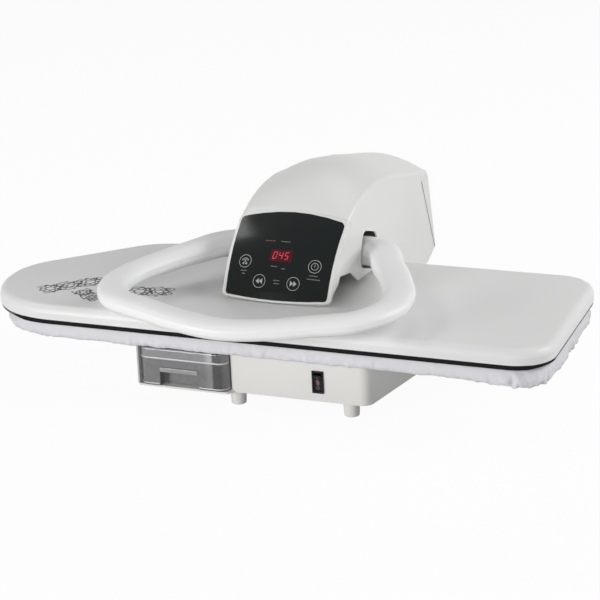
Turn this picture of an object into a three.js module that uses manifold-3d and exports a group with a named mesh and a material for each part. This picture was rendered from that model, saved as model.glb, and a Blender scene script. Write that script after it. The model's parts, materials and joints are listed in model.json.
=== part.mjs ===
// A table-top steam ironing press, closed and locked.
//
// Millimetres. +X is to the operator's right, +Y to the rear and +Z up. While the pieces are made,
// X is zero on the centre plane of the base and head, Y is zero at the middle of the board's depth
// and Z is zero on the table. The last lines put the origin under the middle of the whole press.

import * as THREE from 'three';
import { mergeVertices } from 'three/addons/utils/BufferGeometryUtils.js';
import Module from 'manifold-3d';

const wasm = await Module();
wasm.setup();

// Driving dimensions

const gap = { rest: 0.3, slide: 0.6, sweep: 3, cut: 40 };

const facets = {
  arc: 1.4, curve: 6, bend: 4, round: 24, small: 14, wire: 5, coilTurn: 8, lensAcross: 8, lensUp: 8,
  loop: 56, loopSides: 16,
};

const board = {
  length: 810, depth: 316, offset: 9, noseRadius: 125, noseBack: 4.5, noseRun: 136,
  sideRadius: 90, rightTaper: 22, frontCorner: 48, rearCorner: 55,
};
const pan = { thickness: 2, inset: 14 };
const foam = { height: 16.4, inset: 12.5, edgeRadius: 4 };
const cloth = { thickness: 1.8, inset: 9, hemWidth: 15, hemThickness: 2, crown: 5, drawIn: 6 };
const hotPlate = { thickness: 5, inset: 1 };
const cover = { height: 20.2, edgeRadius: 11, wall: 2.5, hatchWidth: 92, hatchDepth: 50 };

const foot = {
  radius: 11, tipRadius: 10, height: 20, stud: 4, fromFront: 16, fromRear: 20, fromTank: 3,
  fromSide: 30, rearFromSide: 3,
};
const floorPlate = { thickness: 2.8 };
const base = {
  height: 57.7, deckHeight: 24, halfWidth: 153, frontInset: 28, rearInset: 28, tankSide: 39, splay: 7,
  corner: 14, rearCornerRadius: 10, smallCorner: 3, wall: 3,
};
const column = { halfWidth: 62, fromBoard: 6, depth: 118, top: 118, wall: 3, corner: 12 };
const tank = {
  width: 126, depth: 163, proud: 13, bodyHeight: 36.9, lidHeight: 13, wall: 2.4, corner: 13,
  rearCorner: 5, trayInset: 2, recessLeft: 96, recessWidth: 56, recessHeight: 26, recessDepth: 14,
};
const tankGrip = { height: 6.5, depth: 11, proud: 1 };
const tankSeal = { thickness: 1.2, width: 2.4 };
const fillerCap = { radius: 12, lip: 2, height: 3, fromFront: 36, grip: 2 };
const tankGuide = { thickness: 2.5, height: 51 };
const valve = { radius: 5, bore: 3.2, flangeRadius: 9, flange: 2, length: 8, height: 12, fromLeft: 62 };
const dock = { width: 30, depth: 12, height: 26, bore: 5.6, spout: 5, spoutRadius: 3 };
const hose = { radius: 3.5, bore: 3.4 };
const pump = { radius: 17, length: 64, neck: 4.5, neckLength: 9, x: 62, fromBoard: 10, saddle: 22 };
const powerBoard = {
  width: 86, depth: 62, thickness: 1.6, standoff: 8, post: 3.5, x: 72, fromRear: 11, part: 16,
};
const gland = { radius: 9, bore: 4, flange: 3, throat: 6, x: 34, height: 42 };

const rocker = {
  fromSide: 68.5, width: 10.5, halfHeight: 11, frontDepth: 6.5, waist: 4.5, backDepth: 4, backHalf: 5,
  tilt: 8, pivotDepth: 4,
};
const bezel = { width: 16, height: 30, flange: 1.8, body: 13, top: 61.5 };

const hinge = { fromRear: 22, z: 130, shaftRadius: 5, boss: 17, headRadius: 8, headThickness: 5 };
const bracket = { inner: 48, thickness: 4, reach: 55, foot: 14, footThickness: 3 };
const bush = { wall: 2.6, flangeRadius: 11 };
const spring = { wire: 1.5, radius: 7, turns: 5, pitch: 3.8, fromArm: 3 };

const arm = {
  halfWidth: 39, wall: 3, rise: 76, rearDrop: 26, footGap: 15.7, frontUp: 80, frontLow: 26, corner: 8,
  crest: 212, crestReach: 110, shoulderReach: 25, rearShoulder: 196,
};
const yoke = {
  y: 0, pinRise: 14, halfWidth: 34.5, ear: 5, depth: 28, foot: 4, pinRadius: 4, earTop: 9, footMargin: 5,
};
const yokePin = { headRadius: 7, head: 2.5 };

const dome = {
  halfWidth: 77, wall: 2.6, crown: 21, shoulder: 8, frontY: -70, formReach: 114, low: 190, high: 250,
  topReach: 49, rearTopHeight: 205, footReach: 74.5, footHeight: 93, skirtReach: 42, skirt: 78,
  sideUnder: 131, frontUnder: 157, underDip: 150, dipY: 10, sideY: 36, seamTop: 203, seamDepth: 26,
  bossRadius: 6,
};
const panel = {
  y: -64, z: 131, tilt: 51.2, height: 110.6, bottomWidth: 143.6, topWidth: 147, arch: 10, sag: 4.5,
  corner: 6, bulgeUp: 8, bulgeAcross: 5, lens: 2.4, rim: 2.6, rimStep: 0.6, thickness: 14, ledge: 3,
  backWall: 2.5, flange: 4.6, flangeRise: 13.5, underY: -2.3, underZ: 159.7, lowest: 125.4,
};
const key = { radius: 9.4, travel: 0.6, outX: 49.5, outUp: 44, inX: 24.2, inUp: 18.3, post: 3 };
const display = { width: 31.5, height: 17, up: 54.5 };
const podPlate = {
  halfWidth: 58, low: 15, high: 98, out: -0.5, thickness: 1.6, post: 3.5, postX: 50, postUp: 62,
};

const handle = {
  reach: 190, apex: -225, apexZ: 140.3, crestZ: 168.3, rootX: 44, rootY: 76, rootZ: 160,
  width: 46, frontWidth: 41, rootHeight: 40, frontHeight: 25, lean: 17, fullness: 2.3,
};
const handleShaft = { radius: 6, reach: 68 };
const port = { front: 27, rear: 27, above: 27, below: 23, corner: 12 };
const cam = { radius: 12, lobe: 16, halfWidth: 8 };
const chamber = {
  width: 220, depth: 92, height: 13.6, corner: 20, edge: 3, bore: 2, inletX: 30, inletY: 18.8, inletRise: 18,
};
const element = { radius: 4, halfDepth: 78, leftX: -250, rightX: 250, seat: 0.3 };
const thermostat = { radius: 10, height: 8, x: 0, y: 96 };

// Levels and places that follow from them

const level = {};
level.floorLow = foot.height;
level.floorTop = level.floorLow + floorPlate.thickness;
level.baseTop = level.floorLow + base.height;
level.panLow = level.baseTop + gap.rest;
level.panTop = level.panLow + pan.thickness;
level.foamLow = level.panTop + gap.rest;
level.foamTop = level.foamLow + foam.height;
level.clothTop = level.foamTop + gap.rest + cloth.thickness;
level.clothLow = level.panLow - gap.rest - cloth.hemThickness;
level.plateLow = level.clothTop + gap.rest;
level.plateTop = level.plateLow + hotPlate.thickness;
level.coverLow = level.plateTop + gap.rest;
level.coverTop = level.coverLow + cover.height;
level.chamberTop = level.plateTop + gap.rest + chamber.height;
level.tankLow = level.floorTop + gap.rest;
level.tankSeam = level.tankLow + tank.bodyHeight;
level.lidLow = level.tankSeam + tankSeal.thickness + gap.rest * 2;
level.lidTop = level.lidLow + tank.lidHeight;

base.front = board.depth / 2 - base.frontInset;
base.rear = board.depth / 2 - base.rearInset;
column.front = board.depth / 2 + column.fromBoard;
column.rear = column.front + column.depth;
base.deckRear = column.rear;
foot.frontY = foot.fromFront - base.front;
foot.rearY = base.deckRear - foot.fromRear;
foot.leftX = foot.fromTank - base.tankSide;
foot.rightX = base.halfWidth - foot.fromSide;
foot.rearX = base.halfWidth - foot.rearFromSide;
rocker.x = base.halfWidth - rocker.fromSide;
hinge.y = column.rear - hinge.fromRear;
bracket.front = hinge.y - bracket.reach;
powerBoard.y = base.rear - powerBoard.fromRear - powerBoard.depth / 2;
pump.y = powerBoard.y - powerBoard.depth / 2 - pump.fromBoard - pump.radius;
arm.under = level.chamberTop + gap.rest + yoke.foot + arm.footGap;
arm.rearUnder = arm.under - arm.rearDrop;
arm.crestY = hinge.y - arm.crestReach;
arm.rearShoulderY = hinge.y - arm.shoulderReach;
yoke.z = arm.under + yoke.pinRise;
chamber.inletTop = level.chamberTop + chamber.inletRise;
dome.formRear = hinge.y + dome.formReach;
dome.rearTop = hinge.y + dome.topReach;
dome.rearFoot = hinge.y + dome.footReach;
dome.skirtRear = hinge.y + dome.skirtReach;

const radians = THREE.MathUtils.degToRad;
const splayRun = Math.tan(radians(base.splay));
const widthAt = (y) => base.halfWidth + (y + base.front) * splayRun;
const tankRight = -base.tankSide - gap.slide;
const tankLeft = tankRight - tank.width;
const tankFront = -base.front - tank.proud;
const tankRear = tankFront + tank.depth;
base.bayRear = tankRear + dock.depth;
const valveX = tankLeft + valve.fromLeft;
const valveZ = level.tankLow + valve.height;

// Finishes

const finishes = {
  shell: { color: 0xf1f0ec, roughness: 0.35, metalness: 0 },
  gloss: { color: 0xf4f3f0, roughness: 0.15, metalness: 0 },
  rubber: { color: 0xe4e2dc, roughness: 0.7, metalness: 0 },
  seal: { color: 0x4b4d50, roughness: 0.8, metalness: 0 },
  cloth: { color: 0xe2e1ee, roughness: 0.95, metalness: 0 },
  foam: { color: 0xd8cfa8, roughness: 1, metalness: 0 },
  steel: { color: 0xa9adb1, roughness: 0.4, metalness: 0.9 },
  bronze: { color: 0xb08a4a, roughness: 0.45, metalness: 0.9 },
  hotPlate: { color: 0x1d1f22, roughness: 0.55, metalness: 0.3 },
  cast: { color: 0x9a9c9e, roughness: 0.6, metalness: 0.8 },
  smoke: { color: 0x6f7174, roughness: 0.12, metalness: 0, transparent: true, opacity: 0.55 },
  clear: { color: 0xc9ccce, roughness: 0.12, metalness: 0, transparent: true, opacity: 0.5 },
  lens: { color: 0x0c0d0f, roughness: 0.08, metalness: 0 },
  red: { color: 0x8c1420, roughness: 0.2, metalness: 0 },
  black: { color: 0x151617, roughness: 0.4, metalness: 0 },
  circuit: { color: 0x1f5a38, roughness: 0.5, metalness: 0 },
  hose: { color: 0xd9d6cf, roughness: 0.5, metalness: 0 },
};

// Solids and transforms

const axisX = new THREE.Vector3(1, 0, 0);
const axisY = new THREE.Vector3(0, 1, 0);
const axisZ = new THREE.Vector3(0, 0, 1);

// A closed body from a closed geometry, turned right side out where its faces point in.
function solid(geometry) {
  const bare = geometry.clone();
  bare.deleteAttribute('normal');
  bare.deleteAttribute('uv');
  const merged = mergeVertices(bare);
  const vertProperties = new Float32Array(merged.attributes.position.array);
  const triVerts = new Uint32Array(merged.index.array);
  if (signedVolume(vertProperties, triVerts) < 0) {
    for (let i = 0; i < triVerts.length; i += 3) {
      [triVerts[i + 1], triVerts[i + 2]] = [triVerts[i + 2], triVerts[i + 1]];
    }
  }
  return new wasm.Manifold(new wasm.Mesh({ numProp: 3, vertProperties, triVerts }));
}

function signedVolume(points, corners) {
  const a = new THREE.Vector3();
  const b = new THREE.Vector3();
  const c = new THREE.Vector3();
  let six = 0;
  for (let i = 0; i < corners.length; i += 3) {
    a.fromArray(points, corners[i] * 3);
    b.fromArray(points, corners[i + 1] * 3);
    c.fromArray(points, corners[i + 2] * 3);
    six += a.dot(b.cross(c));
  }
  return six;
}

function join(...solids) {
  return solids.reduce((sum, next) => sum.add(next));
}

function cut(body, ...tools) {
  return tools.reduce((rest, tool) => rest.subtract(tool), body);
}

// A prism of a shape drawn on X and Y.
function prismZ(shape, low, high) {
  const geometry = new THREE.ExtrudeGeometry(shape, {
    depth: high - low, bevelEnabled: false, curveSegments: facets.curve,
  });
  return solid(geometry.translate(0, 0, low));
}

// A prism of a shape drawn on Y and Z.
function prismX(shape, low, high) {
  const geometry = new THREE.ExtrudeGeometry(shape, {
    depth: high - low, bevelEnabled: false, curveSegments: facets.curve,
  });
  geometry.translate(0, 0, low);
  return solid(geometry.applyMatrix4(new THREE.Matrix4().makeBasis(axisY, axisZ, axisX)));
}

// A prism of a shape drawn on X and Z.
function prismY(shape, low, high) {
  const geometry = new THREE.ExtrudeGeometry(shape, {
    depth: high - low, bevelEnabled: false, curveSegments: facets.curve,
  });
  geometry.translate(0, 0, -high);
  const basis = new THREE.Matrix4().makeBasis(axisX, axisZ, axisY.clone().negate());
  return solid(geometry.applyMatrix4(basis));
}

function box(x0, x1, y0, y1, z0, z1) {
  const geometry = new THREE.BoxGeometry(x1 - x0, y1 - y0, z1 - z0);
  return solid(geometry.translate((x0 + x1) / 2, (y0 + y1) / 2, (z0 + z1) / 2));
}

// A round rod from one point along an axis, tapered where a second radius is given.
function rod(axis, radius, from, length, endRadius = radius, sides = facets.round) {
  const geometry = new THREE.CylinderGeometry(endRadius, radius, length, sides);
  geometry.translate(0, length / 2, 0);
  geometry.applyQuaternion(new THREE.Quaternion().setFromUnitVectors(axisY, axis));
  return solid(geometry.translate(from.x, from.y, from.z));
}

function at(x, y, z) {
  return new THREE.Vector3(x, y, z);
}

function mesh(name, body, finish) {
  const { vertProperties, triVerts } = body.getMesh();
  const geometry = new THREE.BufferGeometry();
  geometry.setAttribute('position', new THREE.BufferAttribute(new Float32Array(vertProperties), 3));
  geometry.setIndex(new THREE.BufferAttribute(new Uint32Array(triVerts), 1));
  geometry.computeVertexNormals();
  const piece = new THREE.Mesh(geometry, new THREE.MeshStandardMaterial(finishes[finish]));
  piece.name = name;
  return piece;
}

// Outlines with rounded corners. A corner is [x, y, radius], and corners run anticlockwise.

function cornerOf(corners, i) {
  const here = new THREE.Vector2(corners[i][0], corners[i][1]);
  const last = corners[(i + corners.length - 1) % corners.length];
  const next = corners[(i + 1) % corners.length];
  const back = new THREE.Vector2(last[0], last[1]).sub(here).normalize();
  const ahead = new THREE.Vector2(next[0], next[1]).sub(here).normalize();
  const half = Math.acos(THREE.MathUtils.clamp(back.dot(ahead), -1, 1)) / 2;
  const inward = back.clone().add(ahead).normalize();
  const convex = back.cross(ahead) < 0;
  return { here, back, ahead, half, inward, convex, radius: corners[i][2] ?? 0 };
}

function inset(corners, by) {
  return corners.map((corner, i) => {
    const { here, half, inward, convex, radius } = cornerOf(corners, i);
    const side = convex ? by : -by;
    const moved = inward.multiplyScalar(side / Math.sin(half)).add(here);
    return [moved.x, moved.y, radius > 0 ? Math.max(radius - side, gap.rest) : 0];
  });
}

function arcSteps(corners, i) {
  const { half, radius } = cornerOf(corners, i);
  return radius > 0 ? Math.ceil((Math.PI / 2 - half) * Math.sqrt(radius) * facets.arc) + 1 : 0;
}

function outlinePoints(corners, steps = corners.map((corner, i) => arcSteps(corners, i))) {
  return corners.flatMap((corner, i) => {
    const { here, back, half, inward, convex, radius } = cornerOf(corners, i);
    if (steps[i] === 0) {
      return [here];
    }
    const start = back.multiplyScalar(radius / Math.tan(half)).add(here);
    const centre = inward.multiplyScalar(radius / Math.sin(half)).add(here);
    const sweep = (Math.PI - half * 2) * (convex ? 1 : -1);
    return Array.from({ length: steps[i] + 1 }, (_, k) => (
      start.clone().rotateAround(centre, (k / steps[i]) * sweep)
    ));
  });
}

function outline(corners) {
  return new THREE.Shape(outlinePoints(corners));
}

function roundedRectangle(x0, x1, y0, y1, radius) {
  return outline([[x0, y0, radius], [x1, y0, radius], [x1, y1, radius], [x0, y1, radius]]);
}

// A body through rings of equally many points, closed by flat or nearly flat ends.
function loft(rings) {
  const positions = [];
  const sides = rings[0].length;
  const face = (a, b, c) => positions.push(...a.toArray(), ...b.toArray(), ...c.toArray());
  for (let r = 1; r < rings.length; r += 1) {
    for (let i = 0; i < sides; i += 1) {
      const j = (i + 1) % sides;
      face(rings[r - 1][i], rings[r - 1][j], rings[r][j]);
      face(rings[r - 1][i], rings[r][j], rings[r][i]);
    }
  }
  const cap = (ring, flip) => {
    const middle = ring.reduce((sum, p) => sum.add(p), new THREE.Vector3()).divideScalar(sides);
    for (let i = 0; i < sides; i += 1) {
      const j = (i + 1) % sides;
      face(middle, flip ? ring[j] : ring[i], flip ? ring[i] : ring[j]);
    }
  };
  cap(rings[0], true);
  cap(rings[rings.length - 1], false);
  const geometry = new THREE.BufferGeometry();
  geometry.setAttribute('position', new THREE.Float32BufferAttribute(positions, 3));
  return solid(geometry);
}

// A stack of one outline at several heights, each drawn in by its own inset.
function stack(corners, levels) {
  const steps = corners.map((corner, i) => arcSteps(corners, i));
  return loft(levels.map(([by, z]) => (
    outlinePoints(inset(corners, by), steps).map((p) => at(p.x, p.y, z))
  )));
}

// A tube of one radius along a curve.
function tube(points, radius, steps, sides = facets.wire + 1) {
  const curve = new THREE.CatmullRomCurve3(points);
  const frames = curve.computeFrenetFrames(steps, false);
  const rings = [];
  for (let i = 0; i <= steps; i += 1) {
    const centre = curve.getPointAt(i / steps);
    const ring = [];
    for (let k = 0; k < sides; k += 1) {
      const turn = (k / sides) * Math.PI * 2;
      ring.push(centre.clone()
        .addScaledVector(frames.normals[i], Math.cos(turn) * radius)
        .addScaledVector(frames.binormals[i], Math.sin(turn) * radius));
    }
    rings.push(ring);
  }
  return loft(rings);
}

// Board: pan, foam and cloth, and the heated plate and cover above them

const boardLeft = -board.length / 2 - board.offset;
const boardRight = board.length / 2 - board.offset;
const boardCorners = [
  [boardLeft, -board.depth / 2, board.noseRadius],
  [boardRight, -board.depth / 2, board.frontCorner],
  [boardRight - board.rightTaper, board.depth / 2, board.rearCorner],
  [boardLeft + board.noseRun, board.depth / 2, board.sideRadius],
  [boardLeft, board.noseBack, board.sideRadius],
];

function boardPan() {
  return stack(boardCorners, [[pan.inset, level.panLow], [pan.inset, level.panTop]]);
}

function foamPad() {
  return stack(boardCorners, [
    [foam.inset, level.foamLow],
    [foam.inset, level.foamTop - foam.edgeRadius],
    [foam.inset + foam.edgeRadius / 2, level.foamTop - gap.rest * 2],
    [foam.inset + foam.edgeRadius * 2, level.foamTop],
  ]);
}

// The cloth crowns over the foam's edge, and its gathered hem draws in under the pan.
function boardCover() {
  const low = level.clothLow;
  const high = level.clothTop;
  const outer = stack(boardCorners, [
    [cloth.inset + cloth.drawIn * 2, low],
    [cloth.inset + cloth.drawIn / 2, low + cloth.hemThickness / 2],
    [cloth.inset, low + cloth.crown],
    [cloth.inset, high - cloth.crown],
    [cloth.inset + cloth.drawIn / 4, high - cloth.thickness / 2],
    [cloth.inset + cloth.drawIn * 2, high],
  ]);
  const room = cloth.inset + cloth.thickness;
  const inner = stack(boardCorners, [
    [room + cloth.drawIn / 2, level.panLow - gap.rest],
    [room, low + cloth.crown],
    [room, level.foamTop - foam.edgeRadius],
    [room + foam.edgeRadius / 2, level.foamTop - gap.rest],
    [room + foam.edgeRadius * 2, level.foamTop + gap.rest],
  ]);
  const hem = cloth.inset + cloth.hemWidth;
  const mouth = stack(boardCorners, [[hem, low - gap.cut], [hem, level.panLow]]);
  return cut(outer, inner, mouth);
}

function heatedPlate() {
  return stack(boardCorners, [
    [hotPlate.inset + hotPlate.thickness / 2, level.plateLow],
    [hotPlate.inset, level.plateLow + hotPlate.thickness / 4],
    [hotPlate.inset, level.plateTop],
  ]);
}

function roundedTop(corners, by, low, high, radius) {
  const steps = [[by, low]];
  const bands = facets.bend;
  for (let i = 0; i <= bands; i += 1) {
    const turn = (i / bands) * Math.PI / 2;
    steps.push([by + radius * (1 - Math.cos(turn)), high - radius * (1 - Math.sin(turn))]);
  }
  return stack(corners, steps);
}

function topCover() {
  const outer = roundedTop(boardCorners, 0, level.coverLow, level.coverTop, cover.edgeRadius);
  const inner = roundedTop(
    boardCorners, cover.wall, level.coverLow - gap.rest, level.coverTop - cover.wall,
    cover.edgeRadius - cover.wall,
  );
  const hatch = prismZ(roundedRectangle(
    -cover.hatchWidth / 2, cover.hatchWidth / 2, yoke.y - cover.hatchDepth / 2,
    yoke.y + cover.hatchDepth / 2, yoke.footMargin,
  ), level.coverLow, level.coverTop + gap.cut);
  return cut(outer, inner, hatch);
}

function steamChamber() {
  const halfWidth = chamber.width / 2;
  const halfDepth = chamber.depth / 2;
  const corners = [
    [-halfWidth, yoke.y - halfDepth, chamber.corner], [halfWidth, yoke.y - halfDepth, chamber.corner],
    [halfWidth, yoke.y + halfDepth, chamber.corner], [-halfWidth, yoke.y + halfDepth, chamber.corner],
  ];
  const low = level.plateTop + gap.rest;
  const block = stack(corners, [
    [0, low], [0, level.chamberTop - chamber.edge], [chamber.edge, level.chamberTop],
  ]);
  const inlet = rod(
    axisZ, hose.radius, at(chamber.inletX, chamber.inletY, level.chamberTop - chamber.edge),
    chamber.inletTop - level.chamberTop + chamber.edge, hose.radius, facets.small,
  );
  const bore = rod(
    axisZ, chamber.bore, at(chamber.inletX, chamber.inletY, low + chamber.edge), gap.cut, chamber.bore,
    facets.small,
  );
  return cut(join(block, inlet), bore);
}

function heatingElement() {
  const z = level.plateTop + element.seat + element.radius;
  const y = element.halfDepth;
  const left = element.leftX;
  const bend = y / 2;
  const points = [
    at(element.rightX, -y, z), at((element.rightX + left) / 2, -y, z), at(left, -y, z),
    at(left - bend, -bend, z), at(left - bend, bend, z),
    at(left, y, z), at((element.rightX + left) / 2, y, z), at(element.rightX, y, z),
  ];
  return tube(points, element.radius, facets.round, facets.coilTurn);
}

function yokeBody() {
  const low = level.chamberTop + gap.rest;
  const w = yoke.halfWidth;
  const d = yoke.depth / 2;
  const foot = box(-w - yoke.footMargin, w + yoke.footMargin, yoke.y - d, yoke.y + d, low, low + yoke.foot);
  const ears = [-w, w - yoke.ear].map((x) => prismX(outline([
    [yoke.y - d, low, 0], [yoke.y + d, low, 0], [yoke.y + yoke.earTop, yoke.z + yoke.earTop, yoke.earTop / 2],
    [yoke.y - yoke.earTop, yoke.z + yoke.earTop, yoke.earTop / 2],
  ]), x, x + yoke.ear));
  const bore = rod(axisX, yoke.pinRadius + gap.rest, at(-gap.cut * 2, yoke.y, yoke.z), gap.cut * 4);
  return cut(join(foot, ...ears), bore);
}

// Base: floor, feet, housing and what stands in it

const baseCorners = [
  [-base.tankSide, -base.front, base.smallCorner],
  [base.halfWidth, -base.front, base.corner],
  [widthAt(base.deckRear), base.deckRear, base.rearCornerRadius],
  [column.halfWidth + gap.rest, base.deckRear, 0],
  [column.halfWidth + gap.rest, column.front, 0],
  [-column.halfWidth - gap.rest, column.front, 0],
  [-column.halfWidth - gap.rest, base.deckRear, 0],
  [-widthAt(base.deckRear), base.deckRear, base.rearCornerRadius],
  [-widthAt(base.bayRear), base.bayRear, base.smallCorner],
  [-base.tankSide, base.bayRear, 0],
];
const columnCorners = [
  [-column.halfWidth, column.front + gap.rest, 0],
  [column.halfWidth, column.front + gap.rest, 0],
  [column.halfWidth, column.rear, column.corner],
  [-column.halfWidth, column.rear, column.corner],
];
const guideLeft = tankLeft - gap.slide - tankGuide.thickness;

function floorSlab(grow, low, high) {
  const room = base.wall + gap.rest - grow;
  const under = prismZ(outline(inset(baseCorners, room)), low, high);
  const behind = prismZ(outline(inset(columnCorners, column.wall + gap.rest - grow)), low, high);
  const bridge = box(
    -column.halfWidth / 2 - grow, column.halfWidth / 2 + grow,
    column.front - base.wall * 2, column.front + column.wall * 2, low, high,
  );
  const tray = prismZ(outline([
    [guideLeft - grow, tankFront + tank.trayInset - grow, base.smallCorner],
    [-base.tankSide + grow, tankFront + tank.trayInset - grow, 0],
    [-base.tankSide + base.wall * 2, -base.front + base.wall * 2, 0],
    [-base.tankSide + base.wall * 2, base.bayRear + base.wall * 2, 0],
    [guideLeft - grow, base.bayRear + base.wall * 2, 0],
  ]), low, high);
  return join(under, behind, bridge, tray);
}

function footPlaces() {
  return {
    foot_front_left: [foot.leftX, foot.frontY],
    foot_front_right: [foot.rightX, foot.frontY],
    foot_rear_left: [-foot.rearX, foot.rearY],
    foot_rear_right: [foot.rearX, foot.rearY],
  };
}

function floorBody() {
  const studs = Object.values(footPlaces()).map(([x, y]) => (
    rod(axisZ, foot.stud / 2 + gap.rest, at(x, y, level.floorLow - gap.rest), gap.cut)
  ));
  return cut(floorSlab(0, level.floorLow, level.floorTop), ...studs);
}

function footBody(x, y) {
  const chamfer = foot.radius - foot.tipRadius;
  const height = level.floorLow - gap.rest;
  const profile = [
    [0, 0], [foot.tipRadius - chamfer, 0], [foot.tipRadius, chamfer], [foot.radius, height - chamfer],
    [foot.radius, height], [foot.stud / 2, height], [foot.stud / 2, level.floorTop], [0, level.floorTop],
  ].map(([r, z]) => new THREE.Vector2(r, z));
  const geometry = new THREE.LatheGeometry(profile, facets.small);
  geometry.rotateX(Math.PI / 2);
  return solid(geometry.translate(x, y, 0));
}

// A housing with a low deck behind the board's edge.
function housing(by, low) {
  const shape = outline(inset(baseCorners, by));
  const wide = widthAt(base.deckRear) + gap.cut;
  const deck = prismZ(shape, low, level.floorLow + base.deckHeight - by);
  const front = box(-wide, wide, -base.front - gap.cut, base.rear - by, low, level.baseTop);
  return join(deck, prismZ(shape, low, level.baseTop - by).intersect(front));
}

function baseShell() {
  const outer = housing(0, level.floorLow);
  const inner = housing(base.wall, level.floorLow - gap.rest);
  const plate = floorSlab(gap.rest, level.floorLow - gap.rest, level.floorTop + gap.rest);
  const switchHole = box(
    rocker.x - bezel.body / 2 - gap.rest, rocker.x + bezel.body / 2 + gap.rest,
    -base.front - gap.cut / 2, -base.front + base.wall + gap.rest,
    bezel.top - bezel.height + bezel.flange - gap.rest, bezel.top - bezel.flange + gap.rest,
  );
  const hoseHole = rod(
    axisY, hose.radius + gap.slide, at(valveX, base.bayRear - gap.cut / 4, valveZ), gap.cut / 2,
  );
  const mainsHole = box(
    -column.halfWidth / 2, column.halfWidth / 2, column.front - base.wall - gap.rest,
    column.front + gap.rest, level.floorTop, level.floorLow + base.deckHeight - base.wall * 2,
  );
  return cut(outer, inner, plate, switchHole, hoseHole, mainsHole);
}

function tankGuideBody() {
  return box(
    guideLeft, guideLeft + tankGuide.thickness, tankFront + tank.trayInset, base.bayRear - gap.rest,
    level.floorTop + gap.rest, level.floorTop + gap.rest + tankGuide.height,
  );
}

function tankDock() {
  const front = tankRear + gap.slide;
  const rear = base.bayRear - gap.rest;
  const block = box(
    valveX - dock.width / 2, valveX + dock.width / 2, front, rear, level.floorTop + gap.rest,
    level.floorTop + gap.rest + dock.height,
  );
  const socket = rod(axisY, dock.bore, at(valveX, front - gap.rest, valveZ), rear - front - dock.spout / 2);
  const channel = rod(axisY, hose.radius, at(valveX, front, valveZ), gap.cut);
  return cut(block, socket, channel);
}

const pumpZ = level.floorTop + gap.rest + pump.radius + base.wall;

function inletHose() {
  const start = at(valveX, base.bayRear + gap.rest, valveZ);
  const end = at(pump.x - pump.length / 2 - pump.neckLength - gap.rest, pump.y, pumpZ);
  const across = (end.x - start.x) / 3;
  const dip = (base.rear - base.bayRear) / 4;
  const straight = hose.radius * 3;
  return tube([
    start,
    at(start.x, start.y + straight, start.z),
    at(start.x + across, start.y + dip, (start.z + end.z) / 2),
    at(end.x - across / 2, Math.max(end.y + straight * 2, start.y + straight), end.z),
    at(end.x - straight, end.y, end.z),
    end,
  ], hose.radius, facets.round, facets.coilTurn);
}

function pumpBody() {
  const left = pump.x - pump.length / 2;
  const barrel = rod(axisX, pump.radius, at(left, pump.y, pumpZ), pump.length);
  const necks = rod(
    axisX, pump.neck, at(left - pump.neckLength, pump.y, pumpZ), pump.length + pump.neckLength * 2,
  );
  const saddle = box(
    pump.x - pump.saddle, pump.x + pump.saddle, pump.y - pump.radius, pump.y + pump.radius,
    level.floorTop + gap.rest, pumpZ - pump.radius / 2,
  );
  return join(barrel, necks, saddle);
}

function powerBoardBody() {
  const z = level.floorTop + gap.rest;
  const top = z + powerBoard.standoff;
  const w = powerBoard.width / 2;
  const d = powerBoard.depth / 2;
  const plate = box(
    powerBoard.x - w, powerBoard.x + w, powerBoard.y - d, powerBoard.y + d, top, top + powerBoard.thickness,
  );
  const posts = [[-1, -1], [1, -1], [1, 1], [-1, 1]].map(([sx, sy]) => rod(
    axisZ, powerBoard.post, at(
      powerBoard.x + sx * (w - powerBoard.post * 2), powerBoard.y + sy * (d - powerBoard.post * 2), z,
    ), powerBoard.standoff + powerBoard.thickness / 2, powerBoard.post, facets.small,
  ));
  const part = powerBoard.part;
  const parts = [-1, 0, 1].map((step) => box(
    powerBoard.x + step * part * 1.5 - part / 2, powerBoard.x + step * part * 1.5 + part / 2,
    powerBoard.y - part / 2, powerBoard.y + part, top, top + part,
  ));
  return join(plate, ...posts, ...parts);
}

function rearColumn() {
  const outer = prismZ(outline(columnCorners), level.floorLow, column.top);
  const inner = prismZ(
    outline(inset(columnCorners, column.wall)), level.floorLow - gap.rest, column.top + gap.rest,
  );
  const plate = floorSlab(gap.rest, level.floorLow - gap.rest, level.floorTop + gap.rest);
  const window = box(
    -column.halfWidth / 2, column.halfWidth / 2, column.front,
    column.front + gap.rest + column.wall + gap.rest, level.floorTop,
    level.floorLow + base.deckHeight - base.wall * 2,
  );
  const mains = rod(
    axisY, gland.throat + gap.rest, at(gland.x, column.rear - gap.cut / 2, gland.height), gap.cut,
  );
  return cut(outer, inner, plate, window, mains);
}

function cordGland() {
  const y = column.rear + gap.rest;
  const collar = rod(axisY, gland.radius, at(gland.x, y, gland.height), gland.flange, gland.throat);
  const throat = rod(
    axisY, gland.throat, at(gland.x, y - column.wall - gland.flange, gland.height),
    column.wall + gland.flange * 1.5,
  );
  const bore = rod(axisY, gland.bore, at(gland.x, y - gap.cut, gland.height), gap.cut * 2);
  return cut(join(collar, throat), bore);
}

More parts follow.
